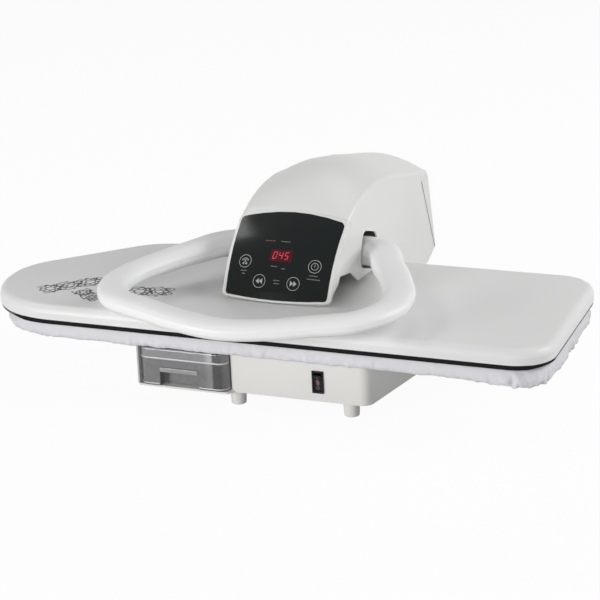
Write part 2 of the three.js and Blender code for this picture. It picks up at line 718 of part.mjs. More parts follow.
function bracketBody(side) {
  const low = level.floorTop + gap.rest;
  const rear = column.rear - column.wall - gap.sweep;
  const profile = outline([
    [bracket.front, low, 0], [rear, low, 0], [hinge.y + hinge.boss, hinge.z + hinge.boss, hinge.boss * 0.9],
    [hinge.y - hinge.boss, hinge.z + hinge.boss, hinge.boss * 0.9],
  ]);
  const inner = side * bracket.inner;
  const outer = side * (bracket.inner + bracket.thickness);
  const plate = prismX(profile, Math.min(inner, outer), Math.max(inner, outer));
  const toe = side * (bracket.inner - bracket.foot);
  const flange = box(
    Math.min(toe, outer), Math.max(toe, outer), bracket.front, rear, low, low + bracket.footThickness,
  );
  const bore = rod(
    axisX, hinge.shaftRadius + bush.wall + gap.rest * 2, at(-gap.cut * 2, hinge.y, hinge.z), gap.cut * 4,
  );
  return cut(join(plate, flange), bore);
}

function bushBody(side) {
  const armFace = arm.halfWidth + gap.rest;
  const inner = hinge.shaftRadius + gap.rest;
  const outer = inner + bush.wall;
  const flangeEnd = bracket.inner - gap.rest;
  const end = bracket.inner + bracket.thickness;
  const profile = [
    [inner, armFace], [bush.flangeRadius, armFace], [bush.flangeRadius, flangeEnd], [outer, flangeEnd],
    [outer, end], [inner, end], [inner, armFace],
  ].map(([r, x]) => new THREE.Vector2(r, x * side));
  const geometry = new THREE.LatheGeometry(profile, facets.round);
  geometry.rotateZ(-Math.PI / 2);
  return solid(geometry.translate(0, hinge.y, hinge.z));
}

function hingeShaft() {
  const end = bracket.inner + bracket.thickness + gap.rest;
  const full = end + hinge.headThickness;
  const core = rod(axisX, hinge.shaftRadius, at(-full, hinge.y, hinge.z), full * 2);
  const heads = [-full, end].map((x) => (
    rod(axisX, hinge.headRadius, at(x, hinge.y, hinge.z), hinge.headThickness)
  ));
  return join(core, ...heads);
}

function switchBezel() {
  const front = -base.front - gap.rest;
  const low = bezel.top - bezel.height;
  const flange = box(
    rocker.x - bezel.width / 2, rocker.x + bezel.width / 2, front - bezel.flange, front, low, bezel.top,
  );
  const body = box(
    rocker.x - bezel.body / 2, rocker.x + bezel.body / 2, front - bezel.flange / 2,
    front + bezel.body, low + bezel.flange, bezel.top - bezel.flange,
  );
  const mouth = box(
    rocker.x - rocker.width / 2 - gap.rest, rocker.x + rocker.width / 2 + gap.rest,
    front - bezel.flange - gap.rest, front + bezel.body - bezel.flange,
    low + bezel.flange * 1.6, bezel.top - bezel.flange * 1.6,
  );
  return cut(join(flange, body), mouth);
}

const rockerPivot = at(rocker.x, -base.front + rocker.pivotDepth, bezel.top - bezel.height / 2);

function powerRocker() {
  const profile = outline([
    [-rocker.frontDepth, -rocker.halfHeight, 0], [-rocker.waist, 0, 0],
    [-rocker.frontDepth, rocker.halfHeight, 0], [rocker.backDepth, rocker.backHalf, 0],
    [rocker.backDepth, -rocker.backHalf, 0],
  ].reverse());
  const body = prismX(profile, -rocker.width / 2, rocker.width / 2);
  return body.rotate([rocker.tilt, 0, 0]).translate(rockerPivot.toArray());
}

// Water tank

const tankCorners = [
  [tankLeft, tankFront, tank.corner], [tankRight, tankFront, tank.corner],
  [tankRight, tankRear, tank.rearCorner], [tankLeft, tankRear, tank.rearCorner],
];
const recessLeft = tankLeft + (tank.width - tank.recessWidth) / 4 + tank.corner;
const recessRight = recessLeft + tank.recessWidth;

function tankBody() {
  const outer = prismZ(outline(tankCorners), level.tankLow, level.tankSeam);
  const inner = prismZ(
    outline(inset(tankCorners, tank.wall)), level.tankLow + tank.wall, level.tankSeam + gap.rest,
  );
  const pocket = (grow) => box(
    recessLeft - grow, recessRight + grow, tankFront - gap.cut, tankFront + tank.recessDepth + grow,
    level.tankLow - gap.cut, level.tankLow + tank.recessHeight + grow,
  );
  const walls = pocket(tank.wall).intersect(outer);
  const bore = rod(axisY, valve.radius + gap.rest, at(valveX, tankRear - gap.cut / 2, valveZ), gap.cut);
  return cut(join(cut(outer, inner), walls), pocket(0), bore);
}

function tankGripBody() {
  const top = level.tankLow + tank.recessHeight - gap.rest;
  return prismX(outline([
    [tankFront - tankGrip.proud, top - tankGrip.height, tankGrip.proud],
    [tankFront + tankGrip.depth, top - tankGrip.height, tankGrip.proud],
    [tankFront + tankGrip.depth, top, 0],
    [tankFront - tankGrip.proud, top, tankGrip.proud],
  ]), recessLeft + gap.rest, recessRight - gap.rest);
}

function tankSealBody() {
  const low = level.tankSeam + gap.rest;
  const high = low + tankSeal.thickness;
  const outer = prismZ(outline(tankCorners), low, high);
  const inner = prismZ(outline(inset(tankCorners, tankSeal.width)), low - gap.rest, high + gap.rest);
  return cut(outer, inner);
}

function tankLid() {
  const outer = roundedTop(tankCorners, 0, level.lidLow, level.lidTop, tank.wall);
  const inner = prismZ(
    outline(inset(tankCorners, tank.wall)), level.lidLow - gap.rest, level.lidTop - tank.wall,
  );
  const mouth = rod(
    axisZ, fillerCap.radius + gap.rest,
    at((tankLeft + tankRight) / 2, tankFront + fillerCap.fromFront, level.lidLow), gap.cut,
  );
  return cut(outer, inner, mouth);
}

function fillerCapBody() {
  const centre = at(
    (tankLeft + tankRight) / 2, tankFront + fillerCap.fromFront, level.lidTop - tank.wall - fillerCap.height,
  );
  const plug = rod(axisZ, fillerCap.radius, centre, tank.wall + fillerCap.height);
  const lip = rod(
    axisZ, fillerCap.radius + fillerCap.lip, centre, fillerCap.height - gap.rest,
  );
  const grip = box(
    centre.x - fillerCap.radius / 2, centre.x + fillerCap.radius / 2, centre.y - fillerCap.grip / 2,
    centre.y + fillerCap.grip / 2, level.lidTop - fillerCap.grip / 2, level.lidTop + gap.cut,
  );
  return cut(join(plug, lip), grip);
}

function tankValve() {
  const start = tankRear - tank.wall - gap.rest - valve.flange;
  const flange = rod(axisY, valve.flangeRadius, at(valveX, start, valveZ), valve.flange);
  const stem = rod(axisY, valve.radius, at(valveX, start, valveZ), valve.flange + tank.wall + valve.length);
  const bore = rod(axisY, valve.bore, at(valveX, start - gap.cut, valveZ), gap.cut * 2);
  return cut(join(flange, stem), bore);
}

// Panel coordinates: X across, Y up the panel and Z out of it, from the lens's lower edge

const panelTilt = radians(panel.tilt);

function fromPanel(up, out) {
  return new THREE.Vector2(
    panel.y + up * Math.cos(panelTilt) - out * Math.sin(panelTilt),
    panel.z + up * Math.sin(panelTilt) + out * Math.cos(panelTilt),
  );
}

function ontoPanel(body) {
  return body.rotate([panel.tilt, 0, 0]).translate([0, panel.y, panel.z]);
}

function panelFront(x, up) {
  const across = x / (panel.bottomWidth / 2);
  const along = up / (panel.height / 2) - 1;
  return Math.max(panel.bulgeAcross * (1 - across * across) + panel.bulgeUp * (1 - along * along), 0);
}

function crestedShape(bottom, top, low, high, corner) {
  const shape = new THREE.Shape();
  shape.moveTo(-bottom + corner, low);
  shape.quadraticCurveTo(0, low - panel.sag * 2, bottom - corner, low);
  shape.quadraticCurveTo(bottom, low, bottom, low + corner);
  shape.lineTo(top, high - corner);
  shape.quadraticCurveTo(top, high, top - corner, high + corner / 4);
  shape.quadraticCurveTo(0, high + panel.arch * 2, -top + corner, high + corner / 4);
  shape.quadraticCurveTo(-top, high, -top, high - corner);
  shape.lineTo(-bottom, low + corner);
  shape.quadraticCurveTo(-bottom, low, -bottom + corner, low);
  return shape;
}

function panelShape(grow) {
  return crestedShape(
    panel.bottomWidth / 2 + grow, panel.topWidth / 2 + grow, -grow, panel.height + grow,
    panel.corner + grow,
  );
}

// A slab whose top and bottom both follow the panel's crowned front.
function crownedSlab(low, high) {
  const halfWidth = panel.topWidth / 2 + panel.rim * 2;
  const bottom = -panel.sag * 2 - panel.rim * 2;
  const top = panel.height + panel.arch * 3;
  const rows = [];
  for (let j = 0; j <= facets.lensUp; j += 1) {
    const up = THREE.MathUtils.lerp(bottom, top, j / facets.lensUp);
    const upper = [];
    const lower = [];
    for (let i = 0; i <= facets.lensAcross; i += 1) {
      const x = THREE.MathUtils.lerp(-halfWidth, halfWidth, i / facets.lensAcross);
      upper.push(at(x, up, panelFront(x, up) + high));
      lower.push(at(x, up, typeof low === 'number' ? panelFront(x, up) + low : low.flat));
    }
    rows.push([...upper, ...lower.reverse()]);
  }
  const positions = [];
  const face = (a, b, c) => positions.push(...a.toArray(), ...b.toArray(), ...c.toArray());
  const sides = rows[0].length;
  for (let j = 1; j < rows.length; j += 1) {
    for (let i = 0; i < sides; i += 1) {
      const k = (i + 1) % sides;
      face(rows[j - 1][i], rows[j - 1][k], rows[j][k]);
      face(rows[j - 1][i], rows[j][k], rows[j][i]);
    }
  }
  [rows[0], rows[rows.length - 1]].forEach((row, end) => {
    for (let i = 0; i < facets.lensAcross; i += 1) {
      const a = row[i];
      const b = row[i + 1];
      const c = row[sides - 2 - i];
      const d = row[sides - 1 - i];
      if (end === 0) {
        face(a, d, c);
        face(a, c, b);
      } else {
        face(a, c, d);
        face(a, b, c);
      }
    }
  });
  const geometry = new THREE.BufferGeometry();
  geometry.setAttribute('position', new THREE.Float32BufferAttribute(positions, 3));
  return solid(geometry);
}

const keyPlaces = {
  key_steam: [-key.outX, key.outUp],
  key_down: [-key.inX, key.inUp],
  key_up: [key.inX, key.inUp],
  key_power: [key.outX, key.outUp],
};

function keyPlug(place, radius) {
  return rod(axisZ, radius, at(place[0], place[1], -panel.thickness), panel.thickness * 4);
}

function displayPlug(grow) {
  return box(
    -display.width / 2 - grow, display.width / 2 + grow, display.up - display.height / 2 - grow,
    display.up + display.height / 2 + grow, -panel.thickness, panel.thickness * 4,
  );
}

function panelLens() {
  const glass = crownedSlab(-panel.lens, 0).intersect(
    prismZ(panelShape(0), -panel.thickness, panel.thickness * 4),
  );
  const holes = Object.values(keyPlaces).map((place) => keyPlug(place, key.radius + gap.rest));
  return cut(glass, displayPlug(gap.rest), ...holes);
}

function keyBody(place) {
  return crownedSlab(-panel.lens, 0).intersect(keyPlug(place, key.radius));
}

function displayWindow() {
  return crownedSlab(-panel.lens, 0).intersect(displayPlug(0));
}

// What is cleared away below the pod, behind the flange along its lower edge.
function belowPod(by) {
  const heel = fromPanel(-panel.corner * 4, -panel.flange + by);
  const bend = fromPanel(panel.flangeRise + by, -panel.flange + by);
  const lean = (panel.underZ - bend.y) / (panel.underY - bend.x);
  const far = bend.x + gap.cut * 3;
  return prismX(outline([
    [heel.x, heel.y - gap.cut, 0], [far, heel.y - gap.cut, 0], [far, bend.y + (far - bend.x) * lean, 0],
    [bend.x, bend.y, 0], [heel.x, heel.y, 0],
  ]), -dome.halfWidth - gap.cut, dome.halfWidth + gap.cut);
}

function podRoom(grow) {
  return crestedShape(
    dome.halfWidth + grow, dome.halfWidth + panel.arch + grow, -panel.rim - grow,
    panel.height + panel.rim + grow, panel.corner + panel.rim + grow,
  );
}

function controlPod() {
  const reach = dome.halfWidth + panel.arch;
  const block = ontoPanel(crownedSlab({ flat: -panel.thickness }, -panel.rimStep).intersect(
    prismZ(podRoom(0), -panel.thickness, panel.thickness * 4),
  )).intersect(domeForm(0));
  const floor = box(
    -reach, reach, panel.y - gap.cut, panel.y + gap.cut, panel.lowest - gap.cut, panel.lowest,
  );
  const seat = crownedSlab(-panel.lens - gap.rest, panel.thickness).intersect(
    prismZ(panelShape(gap.rest), -panel.thickness, panel.thickness * 4),
  );
  const cavity = ontoPanel(prismZ(
    panelShape(-panel.ledge), panel.backWall - panel.thickness, panel.thickness * 4,
  )).subtract(belowPod(panel.backWall));
  const bossHalf = arm.halfWidth - arm.wall;
  const boss = box(
    -bossHalf, bossHalf, arm.frontLow + arm.corner, arm.frontUp - arm.corner,
    -armStandoff + gap.rest, -panel.thickness + panel.backWall / 2,
  );
  return join(cut(block, floor, belowPod(0), ontoPanel(seat), cavity), ontoPanel(boss));
}

function podBoard() {
  const { halfWidth, low, high, out, thickness } = podPlate;
  const plate = box(-halfWidth, halfWidth, low, high, out, out + thickness);
  const under = crownedSlab({ flat: -panel.thickness }, -panel.lens - key.travel - gap.rest);
  const posts = Object.values(keyPlaces).map((place) => (
    rod(axisZ, key.post, at(place[0], place[1], out), panel.thickness * 4, key.post, facets.small)
      .intersect(under)
  ));
  const back = panel.backWall - panel.thickness + gap.rest;
  const feet = [-1, 1].flatMap((side) => [podPlate.postUp, high - podPlate.post * 2].map((up) => rod(
    axisZ, podPlate.post, at(side * podPlate.postX, up, back), out - back + thickness / 2, podPlate.post,
    facets.small,
  )));
  const lamp = displayPlug(0).intersect(crownedSlab({ flat: out }, -panel.lens - gap.rest));
  return join(plate, ...posts, ...feet, lamp);
}

// Head: arm and dome

const armStandoff = panel.thickness + panel.backWall * 3;

function armProfile(by) {
  const front = fromPanel(arm.frontLow, -armStandoff);
  const upper = fromPanel(arm.frontUp, -armStandoff);
  const slope = (upper.x - front.x) / (upper.y - front.y);
  const low = front.x - (front.y - arm.under) * slope;
  return inset([
    [low, arm.under, arm.corner],
    [arm.crestY, arm.under, arm.corner],
    [hinge.y - hinge.boss * 2, arm.rearUnder, arm.corner],
    [hinge.y + hinge.boss, hinge.z - hinge.boss, hinge.boss * 0.9],
    [hinge.y + hinge.boss, hinge.z + hinge.boss, hinge.boss * 0.9],
    [arm.rearShoulderY, arm.rearShoulder, arm.corner],
    [arm.crestY, arm.crest, arm.corner],
    [upper.x, upper.y, arm.corner],
  ], by);
}

function armFrame() {
  const w = arm.halfWidth;
  const outer = prismX(outline(armProfile(0)), -w, w);
  const hollow = inset(armProfile(0), arm.wall).map(([y, z, r]) => [y, z, Math.max(r, 0)]);
  const room = prismX(outline(hollow), -w + arm.wall, w - arm.wall);
  const under = box(
    -w + arm.wall, w - arm.wall, panel.y - gap.cut, hinge.y + gap.cut, level.coverLow,
    arm.under + arm.wall * 2,
  );
  const bores = [
    [yoke.pinRadius, yoke.y, yoke.z],
    [hinge.shaftRadius, hinge.y, hinge.z],
    [handleShaft.radius, handle.rootY, handle.rootZ],
  ].map(([radius, y, z]) => rod(axisX, radius + gap.rest, at(-gap.cut * 2, y, z), gap.cut * 4));
  return cut(outer, room, under, ...bores);
}

function yokePinBody() {
  const half = arm.halfWidth + gap.rest;
  const core = rod(axisX, yoke.pinRadius, at(-half, yoke.y, yoke.z), half * 2);
  const heads = [-half - yokePin.head, half].map((x) => (
    rod(axisX, yokePin.headRadius, at(x, yoke.y, yoke.z), yokePin.head)
  ));
  return join(core, ...heads);
}

function liftSpring(side) {
  const steps = spring.turns * facets.coilTurn;
  const rings = [];
  const start = arm.halfWidth - arm.wall - spring.fromArm;
  for (let i = 0; i <= steps; i += 1) {
    const turn = (i / facets.coilTurn) * Math.PI * 2;
    const x = side * (start - (i / facets.coilTurn) * spring.pitch);
    const ring = [];
    for (let k = 0; k < facets.wire; k += 1) {
      const around = (k / facets.wire) * Math.PI * 2;
      const r = spring.radius + Math.cos(around) * spring.wire;
      ring.push(at(
        x + Math.sin(around) * spring.wire, hinge.y + Math.cos(turn) * r, hinge.z + Math.sin(turn) * r,
      ));
    }
    rings.push(ring);
  }
  return loft(rings);
}

function steamHose() {
  const x = arm.halfWidth - arm.wall - gap.rest - hose.radius;
  const over = handle.rootZ + handleShaft.radius + hose.radius * 2;
  return tube([
    at(x, hinge.y - hinge.boss * 1.5, hinge.z + hinge.boss),
    at(x, (hinge.y + arm.crestY) / 2, over),
    at(x, arm.crestY, over + hose.radius * 2),
    at(x, handle.rootY + handle.width / 2, over + hose.radius),
    at(x, handle.rootY, over),
    at((x + chamber.inletX) / 2, chamber.inletY + yoke.depth / 2, over - hose.radius),
    at(chamber.inletX, chamber.inletY, chamber.inletTop + hose.radius * 3),
    at(chamber.inletX, chamber.inletY, chamber.inletTop + gap.slide * 2),
  ], hose.radius, facets.round, facets.coilTurn);
}

// The dome along its run: place, shoulder height and crown, each as a share.
const domeShares = [
  [0, 0.52, 0.17], [0.1757, 0.52, 0.17], [0.2027, 0.627, 0.25], [0.2297, 0.722, 0.4], [0.259, 0.806, 0.57],
  [0.2973, 0.885, 0.71], [0.3491, 0.95, 0.86], [0.4167, 0.985, 0.98], [0.4955, 0.945, 1],
  [0.5856, 0.825, 1], [0.6757, 0.677, 1], [0.7658, 0.525, 1], [0.8468, 0.415, 0.95], [1, 0.03, 0.9],
];

function domeRing(y, shoulder, crown, by) {
  const w = dome.halfWidth - by;
  const r = dome.shoulder - by;
  const top = shoulder - by;
  const ring = [at(-w, y, -gap.cut), at(w, y, -gap.cut)];
  const corner = facets.bend;
  const across = facets.bend * 2;
  for (let i = 0; i <= corner; i += 1) {
    const turn = (i / corner) * Math.PI / 2;
    ring.push(at(w - r + Math.cos(turn) * r, y, top - r + Math.sin(turn) * r));
  }
  for (let i = 1; i < across; i += 1) {
    const share = 1 - (i / across) * 2;
    ring.push(at(share * (w - r), y, top + crown * (1 - share * share)));
  }
  for (let i = corner; i >= 0; i -= 1) {
    const turn = (i / corner) * Math.PI / 2;
    ring.push(at(-(w - r + Math.cos(turn) * r), y, top - r + Math.sin(turn) * r));
  }
  return ring;
}

function domeForm(by) {
  return loft(domeShares.map(([run, rise, crown]) => domeRing(
    THREE.MathUtils.lerp(dome.frontY, dome.formRear, run),
    THREE.MathUtils.lerp(dome.low, dome.high, rise),
    dome.crown * crown, by,
  )));
}

// The rear wall's slant, moved in by a wall.
function rearWallAt(z, by) {
  const slant = (dome.rearFoot - dome.rearTop) / (dome.rearTopHeight - dome.footHeight);
  return dome.rearTop + (dome.rearTopHeight - z) * slant - by;
}

// Everything in front of the rear wall, drawn on Y and Z.
function rearLimit(by) {
  const high = dome.high + dome.crown * 2;
  return prismX(outline([
    [dome.frontY - gap.cut, -gap.cut, 0], [rearWallAt(-gap.cut, by), -gap.cut, 0],
    [rearWallAt(high, by), high, 0], [dome.frontY - gap.cut, high, 0],
  ]), -dome.halfWidth - gap.cut, dome.halfWidth + gap.cut);
}

function domeSide() {
  const high = dome.high + dome.crown * 2;
  const frontAt = (z) => {
    const foot = fromPanel(0, -panel.rimStep);
    return foot.x + (z - foot.y) / Math.tan(panelTilt);
  };
  const boardEdge = board.depth / 2 + gap.sweep * 2;
  return prismX(outline([
    [frontAt(dome.frontUnder), dome.frontUnder, 0],
    [dome.dipY, dome.underDip, dome.shoulder],
    [dome.sideY, dome.sideUnder, dome.shoulder],
    [boardEdge, dome.sideUnder, 0],
    [boardEdge, dome.skirt, 0],
    [dome.skirtRear, dome.skirt, dome.shoulder],
    [dome.formRear, dome.footHeight + gap.cut / 2, 0],
    [dome.formRear, high, 0],
    [frontAt(high), high, 0],
  ]), -dome.halfWidth - gap.cut, dome.halfWidth + gap.cut);
}

// The dome as a hollow form, open below and where the pod closes its front.
function domeShell() {
  const outer = domeForm(0).intersect(domeSide()).intersect(rearLimit(0));
  const behindFront = ontoPanel(box(
    -dome.halfWidth, dome.halfWidth, -panel.height, panel.height * 3, -panel.height * 6,
    -panel.rimStep - dome.wall,
  ));
  const hollow = domeForm(dome.wall).intersect(rearLimit(dome.wall)).intersect(behindFront);
  const pod = ontoPanel(prismZ(podRoom(gap.rest), -panel.thickness - gap.rest, panel.thickness * 4));
  return cut(outer, hollow, pod);
}

// The rear cover is the part of the dome behind a slanting seam.
function rearSeam(by) {
  const w = dome.halfWidth + gap.cut;
  const foot = dome.footHeight;
  return prismX(outline([
    [dome.rearFoot - dome.wall - by, foot - gap.cut, 0],
    [dome.rearFoot + gap.cut, foot - gap.cut, 0],
    [dome.rearFoot + gap.cut, dome.seamTop + by, 0],
    [dome.rearTop - dome.seamDepth - by, dome.seamTop + by, 0],
    [dome.rearFoot - dome.wall - by, foot, 0],
  ]), -w, w);
}

function domeCover() {
  const centre = new THREE.Vector2(handle.rootY, handle.rootZ);
  const lean = -radians(handle.lean);
  const opening = outline([
    [-port.front, -port.below], [port.rear, -port.below], [port.rear, port.above], [-port.front, port.above],
  ].map(([along, up]) => {
    const corner = new THREE.Vector2(handle.rootY + along, handle.rootZ + up).rotateAround(centre, lean);
    return [corner.x, corner.y, port.corner];
  }));
  const w = dome.halfWidth;
  const ports = [[-w - gap.cut, -w + dome.wall * 4], [w - dome.wall * 4, w + gap.cut]].map(([from, to]) => (
    prismX(opening, from, to)
  ));
  const shell = cut(domeShell(), rearSeam(gap.rest), ...ports);
  const above = prismX(outline(inset(armProfile(0), -gap.rest)), -w, w);
  const roof = box(-w, w, panel.y, dome.rearFoot, arm.crest - gap.cut / 2, dome.high + gap.cut);
  const bosses = [handle.rootY + handle.width, arm.crestY + handle.width].map((y) => (
    rod(axisZ, dome.bossRadius, at(0, y, arm.under), gap.cut * 4, dome.bossRadius, facets.small)
      .intersect(domeForm(dome.wall / 2)).intersect(roof).subtract(above)
  ));
  return join(shell, ...bosses);
}

function rearCover() {
  return domeShell().intersect(rearSeam(0));
}

// Handle

// Half of the loop's centre line from its root to its front middle, and the section there.
// The shares are of the reach, of the run from root to apex, of the rise from apex to crest,
// and of the way from the root's section to the front's.
const handleShares = [
  [0.23, 0, 0.69, 0], [0.41, 0, 0.71, 0.05], [0.516, 0.037, 0.79, 0.15], [0.586, 0.105, 0.92, 0.3],
  [0.649, 0.18, 0.99, 0.45], [0.715, 0.269, 0.98, 0.6], [0.805, 0.358, 0.91, 0.75],
  [0.896, 0.462, 0.82, 0.85], [0.984, 0.589, 0.72, 0.95], [1, 0.748, 0.61, 1], [0.87, 0.88, 0.47, 1],
  [0.594, 0.932, 0.29, 1], [0.31, 0.976, 0.1, 1], [0, 1, 0, 1],
];

function handleRings() {
  const right = handleShares.map(([x, y, z]) => at(
    x * handle.reach, THREE.MathUtils.lerp(handle.rootY, handle.apex, y),
    THREE.MathUtils.lerp(handle.apexZ, handle.crestZ, z),
  ));
  const left = right.slice(0, -1).map((p) => at(-p.x, p.y, p.z)).reverse();
  const shares = handleShares.map((row) => row[row.length - 1]);
  const sizes = [...shares, ...shares.slice(0, -1).reverse()];
  const curve = new THREE.CatmullRomCurve3([...right, ...left], false, 'centripetal');
  const steps = facets.loop;
  const power = 2 / handle.fullness;
  const full = (v) => Math.sign(v) * Math.abs(v) ** power;
  return Array.from({ length: steps + 1 }, (_, i) => {
    const t = i / steps;
    const place = t * (sizes.length - 1);
    const low = Math.min(Math.floor(place), sizes.length - 2);
    const size = THREE.MathUtils.lerp(sizes[low], sizes[low + 1], place - low);
    const along = curve.getTangent(t);
    const flat = new THREE.Vector3().crossVectors(along, axisZ).normalize();
    flat.applyAxisAngle(along, -radians(handle.lean) * Math.max(1 - size * 2, 0));
    const upright = new THREE.Vector3().crossVectors(flat, along).normalize();
    const width = THREE.MathUtils.lerp(handle.width, handle.frontWidth, size) / 2;
    const height = THREE.MathUtils.lerp(handle.rootHeight, handle.frontHeight, size) / 2;
    return Array.from({ length: facets.loopSides }, (__, k) => {
      const turn = (k / facets.loopSides) * Math.PI * 2;
      return curve.getPoint(t)
        .addScaledVector(flat, full(Math.cos(turn)) * width)
        .addScaledVector(upright, full(Math.sin(turn)) * height);
    });
  });
}

function handleLoop() {
  const bore = rod(
    axisX, handleShaft.radius + gap.rest,
    at(-handleShaft.reach - gap.rest, handle.rootY, handle.rootZ), (handleShaft.reach + gap.rest) * 2,
  );
  return cut(loft(handleRings()), bore);
}

function handleShaftBody() {
  const half = handleShaft.reach;
  return rod(axisX, handleShaft.radius, at(-half, handle.rootY, handle.rootZ), half * 2);
}

function lockCam() {
  const w = cam.halfWidth;
  const disc = rod(axisX, cam.radius, at(-w, handle.rootY, handle.rootZ), w * 2);
  const lobe = rod(
    axisX, cam.radius / 2, at(-w, handle.rootY - cam.lobe, handle.rootZ - cam.radius / 2), w * 2,
  );
  const web = box(
    -w, w, handle.rootY - cam.lobe, handle.rootY, handle.rootZ - cam.radius, handle.rootZ,
  );
  const bore = rod(
    axisX, handleShaft.radius + gap.rest, at(-gap.cut, handle.rootY, handle.rootZ), gap.cut * 2,
  );
  return cut(join(disc, lobe, web), bore);
}

function thermostatBody() {
  return rod(
    axisZ, thermostat.radius, at(thermostat.x, thermostat.y, level.plateTop + gap.rest), thermostat.height,
  );
}

// Assembly

const press = new THREE.Group();

function add(name, body, finish) {
  press.add(mesh(name, body, finish));
}

add('base_floor', floorBody(), 'shell');
add('base_shell', baseShell(), 'shell');
Object.entries(footPlaces()).forEach(([name, [x, y]]) => add(name, footBody(x, y), 'rubber'));
add('tank_guide', tankGuideBody(), 'clear');
add('tank_dock', tankDock(), 'black');
add('inlet_hose', inletHose(), 'hose');
add('pump', pumpBody(), 'black');
add('power_board', powerBoardBody(), 'circuit');
add('rear_column', rearColumn(), 'shell');
add('cord_gland', cordGland(), 'black');
add('hinge_bracket_left', bracketBody(-1), 'steel');
add('hinge_bracket_right', bracketBody(1), 'steel');
add('bush_left', bushBody(-1), 'bronze');
add('bush_right', bushBody(1), 'bronze');
add('hinge_shaft', hingeShaft(), 'steel');
add('switch_bezel', switchBezel(), 'black');
add('power_rocker', powerRocker(), 'black');
add('board_pan', boardPan(), 'steel');
add('foam_pad', foamPad(), 'foam');
add('board_cover', boardCover(), 'cloth');

add('tank_body', tankBody(), 'smoke');
add('tank_grip', tankGripBody(), 'clear');
add('tank_seal', tankSealBody(), 'seal');
add('tank_lid', tankLid(), 'clear');
add('filler_cap', fillerCapBody(), 'seal');
add('tank_valve', tankValve(), 'black');

add('heated_plate', heatedPlate(), 'hotPlate');
add('top_cover', topCover(), 'gloss');
add('steam_chamber', steamChamber(), 'cast');
add('heating_element', heatingElement(), 'steel');
add('thermostat', thermostatBody(), 'black');
add('yoke', yokeBody(), 'steel');

add('arm_frame', armFrame(), 'steel');
add('yoke_pin', yokePinBody(), 'steel');
add('lift_spring_left', liftSpring(-1), 'steel');
add('lift_spring_right', liftSpring(1), 'steel');
add('steam_hose', steamHose(), 'hose');
add('dome_cover', domeCover(), 'shell');
add('rear_cover', rearCover(), 'shell');
add('control_pod', controlPod(), 'shell');
add('panel_lens', ontoPanel(panelLens()), 'lens');
add('display_window', ontoPanel(displayWindow()), 'red');
add('pod_board', ontoPanel(podBoard()), 'circuit');
Object.entries(keyPlaces).forEach(([name, place]) => add(name, ontoPanel(keyBody(place)), 'lens'));

add('handle_loop', handleLoop(), 'shell');
add('handle_shaft', handleShaftBody(), 'steel');
add('lock_cam', lockCam(), 'steel');

const reach = new THREE.Box3().setFromObject(press);
const middle = reach.getCenter(new THREE.Vector3());
press.position.set(-middle.x, -middle.y, 0);

export default press;
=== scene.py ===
"""The looks of a table-top steam ironing press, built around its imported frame.

Lengths in the size classes are millimetres in the machine's own frame, whose X is zero on the
centre plane of the head and whose Y is zero at the middle of the board's depth. Meshes are in metres.
"""

import json
import logging
import math
from dataclasses import dataclass, field
from enum import Enum
from typing import Any, Callable, Iterable, Sequence, Union

import bmesh
import bpy
from mathutils import Matrix, Vector, noise
from mathutils.bvhtree import BVHTree

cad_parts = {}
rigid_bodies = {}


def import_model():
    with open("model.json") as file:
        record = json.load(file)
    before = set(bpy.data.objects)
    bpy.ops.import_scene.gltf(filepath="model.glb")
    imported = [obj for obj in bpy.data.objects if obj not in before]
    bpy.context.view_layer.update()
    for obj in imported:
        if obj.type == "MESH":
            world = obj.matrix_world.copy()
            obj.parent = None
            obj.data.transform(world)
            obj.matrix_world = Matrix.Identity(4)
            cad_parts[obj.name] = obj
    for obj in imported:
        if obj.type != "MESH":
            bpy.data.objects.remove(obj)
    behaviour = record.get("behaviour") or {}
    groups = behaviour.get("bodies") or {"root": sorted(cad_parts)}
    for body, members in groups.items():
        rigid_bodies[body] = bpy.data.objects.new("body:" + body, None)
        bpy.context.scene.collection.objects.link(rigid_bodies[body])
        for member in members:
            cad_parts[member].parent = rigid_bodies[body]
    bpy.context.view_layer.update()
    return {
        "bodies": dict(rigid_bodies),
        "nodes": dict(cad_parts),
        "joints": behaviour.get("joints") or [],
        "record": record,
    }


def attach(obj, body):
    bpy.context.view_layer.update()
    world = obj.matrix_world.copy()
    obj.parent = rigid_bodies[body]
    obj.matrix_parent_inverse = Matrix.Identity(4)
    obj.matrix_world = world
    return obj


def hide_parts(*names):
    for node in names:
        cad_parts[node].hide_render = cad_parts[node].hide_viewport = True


LOG = logging.getLogger("press")
MM = 0.001
MERGE_DISTANCE = 2e-6  # points nearer than this, in metres, are one point
SLIVER_EDGE = 1e-6  # edges shorter than this, in metres, are dissolved
LEVEL_DEGREES = 0.4  # faces that meet at less than this become one face
Number = Union[float, "Sock"]
Flat = tuple[float, float]
Colour = tuple[float, float, float]
Patch = tuple[list[Any], list[Sequence[int]]]


# Node trees


